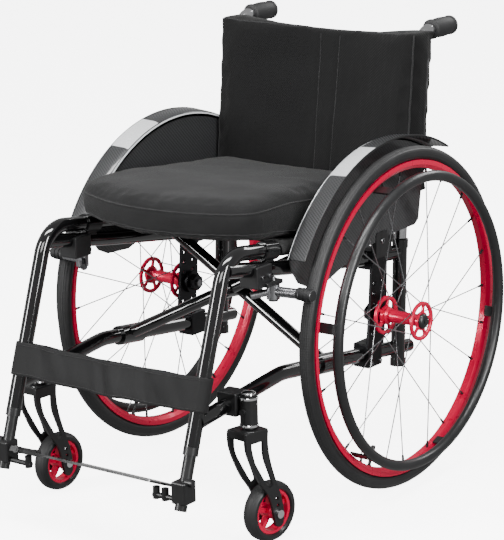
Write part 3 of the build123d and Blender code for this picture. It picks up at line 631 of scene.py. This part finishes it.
def seat_cushion():
    """A crowned foam cushion with a rounded front, a boxing band and seams round its top."""
    outline = cushion_outline()
    rows = []
    levels = [
        (0.55, 0.0), (0.9, 0.0), (0.975, 0.03), (1.0, 0.14), (1.006, 0.32), (1.008, 0.55), (1.004, 0.74),
        (0.992, 0.88), (0.965, 0.96), (0.90, 1.0), (0.75, 1.03), (0.5, 1.05), (0.2, 1.06),
    ]
    for scale, level in levels:
        row = []
        for x, y in outline:
            px, py = x * scale, CUSHION_MID_Y + (y - CUSHION_MID_Y) * scale
            low, high = cushion_base(py), cushion_top(py)
            row.append((px, py, low + (high - low) * level))
        rows.append(row)
    verts, faces = grid(rows, loop=True)
    m = len(outline)
    faces.append(tuple(reversed(range(m))))
    last = (len(rows) - 1) * m
    faces.append(tuple(range(last, last + m)))
    cloths = (MATERIALS["cushion_cloth"], MATERIALS["cushion_band"])
    obj = mesh_object("seat_cushion", verts, faces, *cloths)
    recalc(obj)
    inflate(obj, 6.0, 3.0, 5.0)
    for v in obj.data.vertices:
        y = (v.co.y - AXLE.y) / MM
        x = v.co.x / MM
        crease = noise.noise(Vector((x * 0.010, y * 0.014, 3.1))) * 2.2
        crease += noise.noise(Vector((x * 0.03, y * 0.035, 7.7))) * 0.8
        top = cushion_top(y)
        share = max(0.0, min(1.0, (v.co.z / MM - top + 22) / 22))
        dish = 5.0 * max(0.0, 1 - (x / 150) ** 2) * max(0.0, 1 - ((y + 60) / 170) ** 2)
        v.co.z += (crease - dish) * share * MM
        side = 1.0 - share
        bulge = noise.noise(Vector((x * 0.02, y * 0.02, v.co.z / MM * 0.05))) * 1.6 * side
        v.co += v.normal * bulge * MM
    for poly in obj.data.polygons:
        y = (poly.center.y - AXLE.y) / MM
        poly.material_index = 0 if poly.center.z / MM > cushion_top(y) - SEAM_DROP + 0.5 else 1
    thread = MATERIALS["thread"]
    seam = snapped(obj, [(x, y, cushion_top(y) - SEAM_DROP) for x, y in outline], -0.3)
    welt = line("cushion_seam", seam, 1.3, thread, closed=True)
    low_seam = snapped(obj, [(x, y, cushion_base(y) + 8.0) for x, y in outline], -0.3)
    welt_low = line("cushion_low_seam", low_seam, 1.1, thread, closed=True)
    add_modifier(obj, "SUBSURF", levels=1, render_levels=1)
    apply_modifiers(obj)
    obj.data.shade_smooth()
    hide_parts("seat_cushion")
    for piece in (obj, welt, welt_low):
        fold_with_rails(piece)


def as_mesh(obj):
    """A curve piece turned into a mesh."""
    if obj.type != "CURVE":
        return obj
    graph = bpy.context.evaluated_depsgraph_get()
    data = bpy.data.meshes.new_from_object(obj.evaluated_get(graph))
    mesh = bpy.data.objects.new(obj.name + "_cord", data)
    bpy.context.scene.collection.objects.link(mesh)
    curve = obj.data
    bpy.data.objects.remove(obj)
    bpy.data.curves.remove(curve)
    data.shade_smooth()
    return mesh


def fold_with_rails(obj):
    """Fabric carried by the two seat rails, which ride on the two arms of the brace. Here it is only made a
    mesh with its placing baked in; it is attached to no body.
    """
    obj = as_mesh(obj)
    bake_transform(obj)
    return obj


def fold_with_frames(obj):
    """Fabric stretched between the two side frames, which come together as the chair folds."""
    obj = as_mesh(obj)
    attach(obj, "left_frame")
    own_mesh(obj)
    return obj


seat_cushion()


# ------------------------------------------------------------------ back upholstery
BACK_LOW, BACK_HIGH = 484.0, 764.0
BACK_HALF, BACK_REAR_HALF = 206.0, 210.0
CANE_Y, CANE_Z, CANE_SLOPE = 142.0, 590.0, 0.1091
EDGE_AHEAD, WRAP_BEHIND, BACK_THICK = 45.0, 17.0, 21.0


def cane_y(z):
    """The y of the back cane's axis behind the upholstery."""
    return CANE_Y + CANE_SLOPE * (z - CANE_Z)


def back_edge_y(z):
    return cane_y(z) - EDGE_AHEAD


def back_front(x, z):
    """The y of the front surface: forward at the canes, hanging back between them."""
    t = max(0.0, min(1.0, (1 - abs(x) / BACK_HALF) / 0.85))
    sag = t * t * (3 - 2 * t)
    depth = 45.5 + 9.5 * (z - BACK_LOW) / (BACK_HIGH - BACK_LOW)
    return back_edge_y(z) + depth * sag


def back_rear(x, z):
    """The y of the rear surface: it goes round the canes and follows the front between them."""
    share = 1 - (x / BACK_REAR_HALF) ** 2
    wrap = cane_y(z) + WRAP_BEHIND
    return wrap + (back_front(0, z) + BACK_THICK - wrap) * share


def back_top(x):
    return BACK_HIGH - 15.0 * (1 - (x / BACK_HALF) ** 2)


def back_seam_x(z):
    return 18.0 + 3.0 * (z - BACK_LOW) / (BACK_HIGH - BACK_LOW)


def back_ring(v):
    """One closed section of the upholstery at the share v of its height."""
    columns = 60
    ring = []
    for j in range(columns + 1):
        x = BACK_HALF * (2 * j / columns - 1)
        z = BACK_LOW + (back_top(x) - BACK_LOW) * v
        ring.append((x, back_front(x, z), z))
    z = BACK_LOW + (BACK_HIGH - BACK_LOW) * v
    sides = [(208.5, back_edge_y(z) + 16), (BACK_REAR_HALF, back_edge_y(z) + 34)]
    ring += [(x, y, z) for x, y in sides]
    for j in range(columns, -1, -1):
        x = BACK_REAR_HALF * (2 * j / columns - 1)
        z = BACK_LOW + (back_top(x * BACK_HALF / BACK_REAR_HALF) - BACK_LOW) * v
        ring.append((x, back_rear(x, z), z))
    ring += [(-x, y, z) for x, y in reversed(sides)]
    return ring


def backrest():
    """The back upholstery: a padded panel round both canes with piping and two long seams."""
    heights = 30
    rows = [back_ring(i / heights) for i in range(heights + 1)]
    verts, faces = grid(rows, loop=True)
    m = len(rows[0])
    faces.append(tuple(range(m)))
    faces.append(tuple(reversed(range(len(verts) - m, len(verts)))))
    obj = mesh_object("backrest_cover", verts, faces, MATERIALS["back_mesh"])
    bm = bmesh.new()
    bm.from_mesh(obj.data)
    bmesh.ops.triangulate(bm, faces=[f for f in bm.faces if len(f.verts) > 4])
    bmesh.ops.recalc_face_normals(bm, faces=bm.faces)
    bm.to_mesh(obj.data)
    bm.free()
    inflate(obj, 5.0, 2.0, 4.0)
    for v in obj.data.vertices:
        x, z = v.co.x / MM, v.co.z / MM
        y = (v.co.y - AXLE.y) / MM
        ripple = noise.noise(Vector((x * 0.012, z * 0.016, 1.3))) * 2.4
        pull = noise.noise(Vector((x * 0.05, z * 0.02, 5.0))) * 0.9
        if y < back_front(x, z) + 10:
            for sign in (-1, 1):
                gap = abs(x - sign * back_seam_x(z))
                v.co.y += 2.4 * max(0.0, 1 - gap / 7.0) ** 2 * MM
            v.co.y += (ripple + pull) * MM
        elif y > back_rear(x, z) - 6:
            v.co.y += (ripple * 0.8 + pull) * MM
    add_modifier(obj, "SUBSURF", levels=1, render_levels=1)
    apply_modifiers(obj)
    obj.data.shade_smooth()
    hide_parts("backrest_cover")
    thread = MATERIALS["thread"]
    trims = []
    steps = 30
    for sign, word in ((-1, "right"), (1, "left")):
        for surface, face in ((back_front, "front"), (back_rear, "rear")):
            path = []
            for k in range(steps + 1):
                z = BACK_LOW + 4 + (BACK_HIGH - 22 - BACK_LOW) * k / steps
                x = sign * back_seam_x(z)
                path.append((x, surface(x, z), z))
            name = "back_seam_" + face + "_" + word
            trims.append(line(name, snapped(obj, path, 0.1), 0.7, thread))
        edge = []
        for k in range(steps + 1):
            z = BACK_LOW + 3 + (BACK_HIGH - 6 - BACK_LOW) * k / steps
            edge.append((sign * (BACK_HALF + 1), back_edge_y(z) + 2, z))
        trims.append(line("back_piping_" + word, snapped(obj, edge, 0.2), 1.5, thread))
    rim = [(x, back_front(x, back_top(x)) + 2, back_top(x)) for x in range(-202, 203, 8)]
    trims.append(line("back_piping_top", snapped(obj, rim, 0.2), 1.5, thread))
    fold_with_frames(obj)
    for trim in trims:
        fold_with_frames(trim)


backrest()


# ------------------------------------------------------------------ calf strap
LEG_X = middle("left_front_tube").x / MM
LEG_FOOT_Y, LEG_FOOT_Z, LEG_SLOPE = -497.0, 191.0, 0.3421
LEG_COS, LEG_LEAN = 0.946, 0.30
STRAP_R, STRAP_LOW, STRAP_HIGH = 14.6, 243.0, 296.0


def leg_y(z):
    return LEG_FOOT_Y + LEG_SLOPE * (z - LEG_FOOT_Z)


def strap_track():
    """The strap's loop: (x, distance behind the leg tubes, share of the way across a run)."""
    turn, run = 14, 70
    track = []
    for sign in (1, -1):
        for k in range(turn + 1):
            a = pi * k / turn - sign * pi / 2
            track.append((sign * LEG_X + STRAP_R * cos(a), STRAP_R * sin(a), 0.0))
        for k in range(1, run):
            track.append((sign * (LEG_X - 2 * LEG_X * k / run), sign * STRAP_R, k / run))
    return track


def calf_strap():
    """A wide woven band round both leg tubes, slack and creased between them."""
    track = strap_track()
    across = 12
    rows = []
    for i in range(across + 1):
        v = i / across
        row = []
        for x, d, share in track:
            slack = sin(pi * share)
            z = STRAP_LOW + (STRAP_HIGH - STRAP_LOW) * v
            front = -1 if d < 0 else 1
            wave = noise.noise(Vector((x * 0.011, v * 0.9, front * 4.0))) * 14.0 * slack
            slant = x * 0.045 + (z - STRAP_LOW) * 0.02
            crease = noise.noise(Vector((slant, v * 0.8, front * 9.0))) * 13.0 * slack
            droop = -4.0 * slack + noise.noise(Vector((x * 0.02, front * 2.0, 0.5))) * 2.4
            depth = d + crease * 0.6 + wave * 0.6
            row.append((x, leg_y(z) + depth * LEG_COS, z + droop - depth * LEG_LEAN))
        rows.append(row)
    verts, faces = grid(rows, loop=True)
    obj = mesh_object("calf_strap", verts, faces, MATERIALS["strap_web"])
    recalc(obj)
    add_modifier(obj, "SOLIDIFY", thickness=1.8 * MM, offset=1.0)
    add_modifier(obj, "SUBSURF", levels=1, render_levels=1)
    apply_modifiers(obj)
    obj.data.shade_smooth()
    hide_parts("calf_strap")
    fold_with_frames(obj)
    for row, word in ((rows[1], "low"), (rows[-2], "high")):
        path = [(x, y + (-1.9 if d < 0 else 1.9), z) for (x, y, z), (_, d, _) in zip(row, track)]
        name = "calf_strap_stitch_" + word
        seam = line(name, path, 0.5, MATERIALS["thread"], closed=True, resolution=1)
        fold_with_frames(seam)


calf_strap()


# ------------------------------------------------------------------ seat sling
RAIL_X = middle("left_seat_rail").x / MM
RAIL_R = 11.0
SLING_Y = (-264.0, 60.0)
SLING_ROWS, SLING_STEPS = 24, 24
RAIL_FRONT_Y, RAIL_FRONT_Z = -285.0, 464.5
WRAP_ANGLE = pi / 2 + pi / 6


def rail_z(y):
    return RAIL_FRONT_Z - RAIL_SLOPE * (y - RAIL_FRONT_Y)


def seat_sling():
    """Woven nylon stretched from rail to rail, which it half wraps, slightly dished between."""
    r = RAIL_R + 1.4
    angles = [-pi / 6 + WRAP_ANGLE * k / 8 for k in range(9)]
    profile = [(RAIL_X + r * cos(a), r * sin(a)) for a in angles]
    for k in range(1, SLING_STEPS):
        x = RAIL_X * (1 - 2 * k / SLING_STEPS)
        profile.append((x, r - 3.5 * (1 - (x / RAIL_X) ** 2)))
    profile += [(-RAIL_X - r * cos(a), r * sin(a)) for a in reversed(angles)]
    rows = []
    for i in range(SLING_ROWS + 1):
        y = SLING_Y[0] + (SLING_Y[1] - SLING_Y[0]) * i / SLING_ROWS
        row = []
        for x, h in profile:
            inner = max(0.0, 1 - abs(x) / RAIL_X)
            wave = noise.noise(Vector((x * 0.02, y * 0.02, 2.2))) * 3.0 * inner
            row.append((x, y, rail_z(y) + h - 0.4 + min(0.0, wave)))
        rows.append(row)
    verts, faces = grid(rows)
    obj = mesh_object("seat_sling", verts, faces, MATERIALS["seat_web"])
    recalc(obj)
    add_modifier(obj, "SOLIDIFY", thickness=1.2 * MM, offset=0.0)
    apply_modifiers(obj)
    obj.data.shade_smooth()
    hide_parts("seat_sling")
    fold_with_rails(obj)
    for y, word in ((SLING_Y[0] + 7, "front"), (SLING_Y[1] - 7, "rear")):
        path = [(x, y, rail_z(y) + h - 1.6) for x, h in profile[8:-8]]
        hem = line("sling_hem_" + word, path, 0.5, MATERIALS["thread"], resolution=1)
        fold_with_rails(hem)


seat_sling()


# ------------------------------------------------------------------ small turned pieces
def frame_of(axis):
    """Two directions square to an axis, and the axis itself."""
    w = Vector(axis).normalized()
    helper = Vector((0, 0, 1)) if abs(w.z) < 0.9 else Vector((0, 1, 0))
    u = w.cross(helper).normalized()
    return u, w.cross(u), w


def lathe(profile, origin, axis, steps=40):
    """Points and faces of a profile of (along, radius) pairs turned about an axis."""
    u, v, w = frame_of(axis)
    rows = []
    for along, radius in profile:
        row = []
        for k in range(steps):
            a = 2 * pi * k / steps
            row.append(tuple(Vector(origin) + w * along + (u * cos(a) + v * sin(a)) * radius))
        rows.append(row)
    return grid(rows, loop=True)


def prism(outline, x0, x1):
    """A closed slab between two x values, whose edge is a list of (y, z)."""
    n = len(outline)
    faces = [tuple(range(n)), tuple(reversed(range(n, 2 * n)))]
    faces += [(k, n + k, n + (k + 1) % n, (k + 1) % n) for k in range(n)]
    return [(x, y, z) for x in (x0, x1) for y, z in outline], faces


def merge(parts):
    """Several (points, faces) pairs as one."""
    verts, faces = [], []
    for points, polys in parts:
        base = len(verts)
        verts += points
        faces += [tuple(i + base for i in poly) for poly in polys]
    return verts, faces


def turned_piece(name, shapes, mat, body, smooth_angle=35, replaces=()):
    """One object from turned shapes, shaded smooth except at its edges, riding on a body."""
    verts, faces = merge(shapes)
    obj = mesh_object(name, verts, faces, MATERIALS[mat])
    recalc(obj)
    obj.data.set_sharp_from_angle(angle=radians(smooth_angle))
    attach(obj, body)
    if replaces:
        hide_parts(*replaces)


def cap_screw(origin, axis, r, height):
    """A cap screw's head: rounded rim, flat top and hexagon socket."""
    profile = [(-1.0, r * 0.98), (0.0, r), (height * 0.8, r), (height, r * 0.86), (height, r * 0.5)]
    head = lathe(profile, origin, axis, 24)
    socket = lathe([(height, r * 0.5), (height * 0.35, r * 0.48), (height * 0.3, 0.01)], origin, axis, 6)
    return merge([head, socket])


SIDES = (("left", 1), ("right", -1))
CLAMP_FACE_X = 209.0
AXIS_R = 0.02  # how near to its axis a closed end comes


def frame_screws():
    """Cap screws of the axle plate's clamps, the front clamp and the guard's tab."""
    places = [(-9.0, 398.0), (13.0, 398.0), (-25.0, 212.0), (1.0, 212.0), (-330.0, 432.0), (-312.0, 432.0)]
    for side, sign in SIDES:
        out = (sign, 0, 0)
        shapes = [cap_screw((sign * CLAMP_FACE_X, y, z), out, 3.6, 3.0) for y, z in places]
        shapes.append(cap_screw((sign * 214.5, 2.5, 424.0), out, 4.5, 3.0))
        turned_piece(side + "_frame_screws", shapes, "steel", side + "_frame")


CASTER_X, CASTER_Y = 225.0, -395.0


def shifted(ring, along):
    """A ring's section closed on itself and moved along its axis."""
    return [(a + along, r) for a, r in ring + ring[:1]]


def caster_rings():
    """The bright bearing rings above and below each caster head."""
    for side, sign in SIDES:
        ring = [(0.0, 14.6), (0.6, 15.4), (3.4, 15.4), (4.0, 14.6), (4.0, 12.0), (0.0, 12.0)]
        origin = (sign * CASTER_X, CASTER_Y, 0.0)
        shapes = [lathe(shifted(ring, z), origin, (0, 0, 1)) for z in (204.5, 249.5)]
        dome = [(258.0, 12.2), (260.0, 11.6), (262.0, 9.0), (262.8, 4.0), (263.0, AXIS_R)]
        shapes.append(lathe(dome, origin, (0, 0, 1)))
        turned_piece(side + "_caster_rings", shapes, "bright", side + "_frame")


HUB_IN_X, HUB_OUT_X, HUB_ARMS = 223.0, 295.0, 5
SPOKE_PCR, RIM_IN_R, SPOKES, SPOKE_LEAN = 28.0, 258.0, 24, 62.0
VALVE_ANGLE = radians(205)


def web(x, thick, r0, r1, width, angle):
    """One arm of a flange, waisted in the middle, as a closed ribbon."""
    rows = []
    for k in range(9):
        t = k / 8
        r = r0 + (r1 - r0) * t
        half = width / 2 * (1 + 0.9 * (2 * t - 1) ** 4)
        row = []
        for dx, dy in ((-thick / 2, -half), (thick / 2, -half), (thick / 2, half), (-thick / 2, half)):
            y = dy * cos(angle) + r * sin(angle)
            z = WHEEL_R + r * cos(angle) - dy * sin(angle)
            row.append((x + dx, y, z))
        rows.append(row)
    return grid(rows, loop=True)


def hub_shapes(sign):
    """The hub: a turned barrel and two dished flanges, each a rim on five waisted arms."""
    origin = (0, 0, WHEEL_R)
    axis = (1, 0, 0)
    barrel = [
        (-69.5, 6.6), (-69.5, 15.0), (-63.0, 15.0), (-60.0, 11.5), (-42.0, 10.6), (-6.0, 10.6), (-2.0, 13.0),
        (2.5, 15.0), (2.5, 6.6),
    ]
    rim = [
        (-2.6, 27.4), (-3.4, 29.0), (-3.4, 32.4), (-2.0, 33.6), (2.0, 33.6), (3.0, 32.4), (3.0, 29.0),
        (1.6, 27.2), (-0.6, 26.4),
    ]
    boss = [(-2.4, 12.6), (-2.4, 16.0), (2.4, 16.0), (2.4, 12.6)]
    shapes = [lathe(shifted(barrel, HUB_OUT_X - 2.5), origin, axis, 48)]
    for x in (HUB_IN_X, HUB_OUT_X):
        shapes.append(lathe(shifted(rim, x), origin, axis, 64))
        shapes.append(lathe(shifted(boss, x), origin, axis, 48))
        for k in range(HUB_ARMS):
            shapes.append(web(x, 3.8, 14.5, 28.2, 4.6, radians(360 / HUB_ARMS * k + 14)))
    return [([(sign * px, py, pz) for px, py, pz in verts], faces) for verts, faces in shapes]


def spoke_ends(sign):
    """Where each spoke enters the rim, and the direction it comes from."""
    out = []
    turn = 360.0 / (SPOKES / 2)
    for flange_x, phase in ((HUB_IN_X, 0.0), (HUB_OUT_X, 0.5)):
        side = 1 if flange_x > WHEEL_X else -1
        for k in range(SPOKES // 2):
            way = 1 if k % 2 else -1
            a = radians(turn * (k + phase))
            b = a + radians(way * SPOKE_LEAN)
            root = Vector((flange_x + way * 1.8, SPOKE_PCR * cos(b), SPOKE_PCR * sin(b) + WHEEL_R))
            tip = Vector((WHEEL_X + side * 3.0, RIM_IN_R * cos(a), RIM_IN_R * sin(a) + WHEEL_R))
            root.x *= sign
            tip.x *= sign
            out.append((tip, (root - tip).normalized()))
    return out


def wheel_details():
    """Hubs with pierced flanges, their black end caps, the spoke nipples and the tyre valves."""
    red, black = "red_anodised", "plastic_black"
    cap = [(-1.0, 13.4), (1.0, 13.4), (4.0, 12.6), (6.6, 10.4), (7.6, 7.4), (7.6, 4.9), (5.0, 4.8)]
    nipple = [(-1.5, 2.3), (9.0, 2.1), (11.5, 1.6), (11.5, 1.0)]
    stem = [
        (-1.0, 4.4), (1.5, 4.2), (2.0, 2.9), (22.0, 2.8), (23.0, 3.9), (34.0, 3.8), (35.5, 2.6),
        (35.6, AXIS_R),
    ]
    inward = Vector((0, -sin(VALVE_ANGLE), -cos(VALVE_ANGLE)))
    for side, sign in SIDES:
        body = side + "_wheel"
        turned_piece(side + "_pierced_hub", hub_shapes(sign), red, body, 40, [side + "_wheel_hub"])
        origin = (sign * (HUB_OUT_X + 1.5), 0, WHEEL_R)
        turned_piece(side + "_hub_cap", [lathe(cap, origin, (sign, 0, 0), 48)], black, body)
        nipples = [lathe(nipple, tip, way, 10) for tip, way in spoke_ends(sign)]
        turned_piece(side + "_spoke_nipples", nipples, black, body)
        foot = Vector((sign * WHEEL_X, 0, WHEEL_R)) - inward * RIM_IN_R
        turned_piece(side + "_tyre_valve", [lathe(stem, foot, inward, 20)], black, body)


LOCK_PIVOT_X, LOCK_Y, LOCK_Z = 203.0, -286.2, 401.0


def lock_details():
    """The ribbed rubber sleeve over each lock bar's end and the bright spacer at its pivot."""
    profile = [
        (247.0, 8.6), (247.6, 10.6), (251.5, 10.6), (252.0, 9.8), (256.0, 9.8), (256.5, 11.2), (260.5, 11.2),
        (261.0, 9.9), (264.5, 9.9), (265.0, 11.2), (269.0, 11.2), (269.5, 9.9), (275.5, 9.7), (276.8, 8.2),
        (277.0, AXIS_R),
    ]
    ring = [(12.3, 8.5), (12.3, 9.4), (16.0, 9.4), (16.0, 8.5), (12.4, 4.2)]
    rubber, up = "grip_rubber", (0, 0, 1)
    for side, sign in SIDES:
        verts, faces = lathe(profile, (0, LOCK_Y, LOCK_Z), (1, 0, 0), 40)
        points = [(sign * x, y, z) for x, y, z in verts]
        turned_piece(side + "_lock_sleeve", [(points, faces)], rubber, side + "_lock")
        x, y = sign * LOCK_PIVOT_X, LOCK_Y - 8.0
        shapes = [lathe(ring, (x, y, LOCK_Z), up, 32), cap_screw((x, y, 421.0), up, 5.0, 4.0)]
        turned_piece(side + "_lock_spacer", shapes, "bright", side + "_frame")


GRIP_Z, GRIP_FRONT_Y, GRIP_LONG = 759.5, 193.0, 50.0
REAR_X = 195.0
SLEEVE_LOW, SLEEVE_HIGH = 628.0, 728.0


def handle_grips():
    """The rubber grips with their palm swell, and the foam sleeves on the canes."""
    profile = [(187.0, 11.2), (187.2, 15.6), (189.0, 17.4), (192.0, 17.4)]
    for k in range(33):
        share = k / 32
        profile.append((GRIP_FRONT_Y + GRIP_LONG * share, 15.4 + 1.9 * sin(pi * share)))
    profile += [(245.5, 17.0), (249.5, 16.6), (251.6, 14.2), (252.0, AXIS_R)]
    rubber = "grip_rubber"
    for side, sign in SIDES:
        body = side + "_frame"
        grip = lathe(profile, (sign * REAR_X, 0, GRIP_Z), (0, 1, 0), 48)
        foot = Vector((sign * REAR_X, cane_y(SLEEVE_LOW), SLEEVE_LOW))
        top = Vector((sign * REAR_X, cane_y(SLEEVE_HIGH), SLEEVE_HIGH))
        long = (top - foot).length
        foot_end = [(0.0, 11.1), (0.4, 14.2), (1.6, 15.0)]
        sleeve = foot_end + [(long - a, r) for a, r in reversed(foot_end)]
        foam_shape = lathe(sleeve, foot, top - foot, 36)
        turned_piece(side + "_foam_sleeve", [foam_shape], "foam_grey", body)
        turned_piece(side + "_handle_grip", [grip], rubber, body, 50, [side + "_push_grip"])


def lip_band(sign, profile, first, last):
    """A thin band on the guard's lip between two angles ahead of the top of the wheel."""
    rows = []
    steps = max(6, round(abs(last - first) / 1.5))
    for k in range(steps + 1):
        a = radians(first + (last - first) * k / steps)
        rows.append([(sign * x, -r * sin(a), WHEEL_R + r * cos(a)) for x, r in profile])
    return grid(rows, loop=True)


LIP_REAR, LIP_FRONT = -30.0, 60.0
# The pale band painted on the lip as a painted reflection runs between these angles.
REFLECTION_PAINT_REAR, REFLECTION_PAINT_FRONT = 12.0, 29.0
GUARD_X, LIP_X, GUARD_THICK = 212.0, 250.0, 2.4
FOLD_R = 304.0


def guard_outline():
    """The panel's edge as (y, z): the arc under the lip, then back along its lower edge."""
    arc = []
    for k in range(46):
        a = radians(LIP_REAR + (LIP_FRONT - LIP_REAR) * k / 45)
        arc.append((-FOLD_R * sin(a), WHEEL_R + FOLD_R * cos(a)))
    front = [(-256, 425), (-240, 403), (-216, 392), (-160, 389), (-60, 421)]
    rear = [(46, 431), (104, 432), (116, 440), (128, 507)]
    return arc + front + rear


def guard_shell(sign):
    """Panel and lip of one guard as thin closed shells."""
    x = GUARD_X
    lip = [
        (x, FOLD_R - 4), (x, FOLD_R), (x + 0.8, 306.0), (x + 3.5, 308.6), (x + 9.0, 310.6),
        (x + 22.0, 311.9), (LIP_X, 312.5), (LIP_X, 310.2), (x + 22.0, 309.6), (x + 10.0, 308.4),
        (x + 5.0, 306.6),
        (x + GUARD_THICK, FOLD_R - 1), (x + GUARD_THICK, FOLD_R - 4),
    ]
    panel = prism(guard_outline(), sign * GUARD_X, sign * (GUARD_X + GUARD_THICK))
    return [panel, lip_band(sign, lip, LIP_REAR, LIP_FRONT)]


def guard_details():
    """The clothes guards: carbon shell, clip tab, a pale band as painted reflection on the lip, a bright
    line as painted highlight along the fold, and hem.
    """
    # Profile of the pale band, a painted reflection over the front of the lip.
    painted_reflection_profile = [
        (214.5, 308.6), (221.0, 311.2), (LIP_X, 312.9), (250.4, 312.6), (LIP_X, 312.3), (221.0, 310.6),
        (214.5, 308.0),
    ]
    # Profile of a bright line along the fold, a painted highlight.
    edge = [(211.3, 304.8), (211.5, 306.0), (212.4, 307.2), (213.0, 306.8), (212.3, 305.8), (212.0, 304.6)]
    hem = [(249.6, 313.2), (251.2, 313.0), (251.4, 311.0), (250.6, 309.6), (249.6, 309.8)]
    tab = [(-16, 396), (21, 396), (21, 436), (16, 441), (-11, 441), (-16, 436)]
    for side, sign in SIDES:
        body = side + "_frame"
        shell = guard_shell(sign)
        clip = prism(tab, sign * 209.3, sign * 215.6)
        painted_reflection_band = lip_band(sign, painted_reflection_profile, REFLECTION_PAINT_REAR, REFLECTION_PAINT_FRONT)
        painted_highlight_band = lip_band(sign, edge, LIP_REAR, LIP_FRONT)
        hem_band = lip_band(sign, hem, LIP_REAR, LIP_FRONT)
        turned_piece(side + "_guard_shell", shell, "carbon", body, 40, [side + "_side_guard"])
        turned_piece(side + "_guard_tab", [clip], "plastic_black", body)
        # Both pale pieces are painted light: a painted reflection on the lip and a painted highlight along
        # the fold.
        turned_piece(side + "_guard_painted_reflection", [painted_reflection_band], "painted_lip_shine", body)
        turned_piece(side + "_guard_painted_highlight", [painted_highlight_band], "painted_lip_shine", body)
        turned_piece(side + "_guard_hem", [hem_band], "plastic_black", body)


frame_screws()
caster_rings()
wheel_details()
lock_details()
handle_grips()
guard_details()
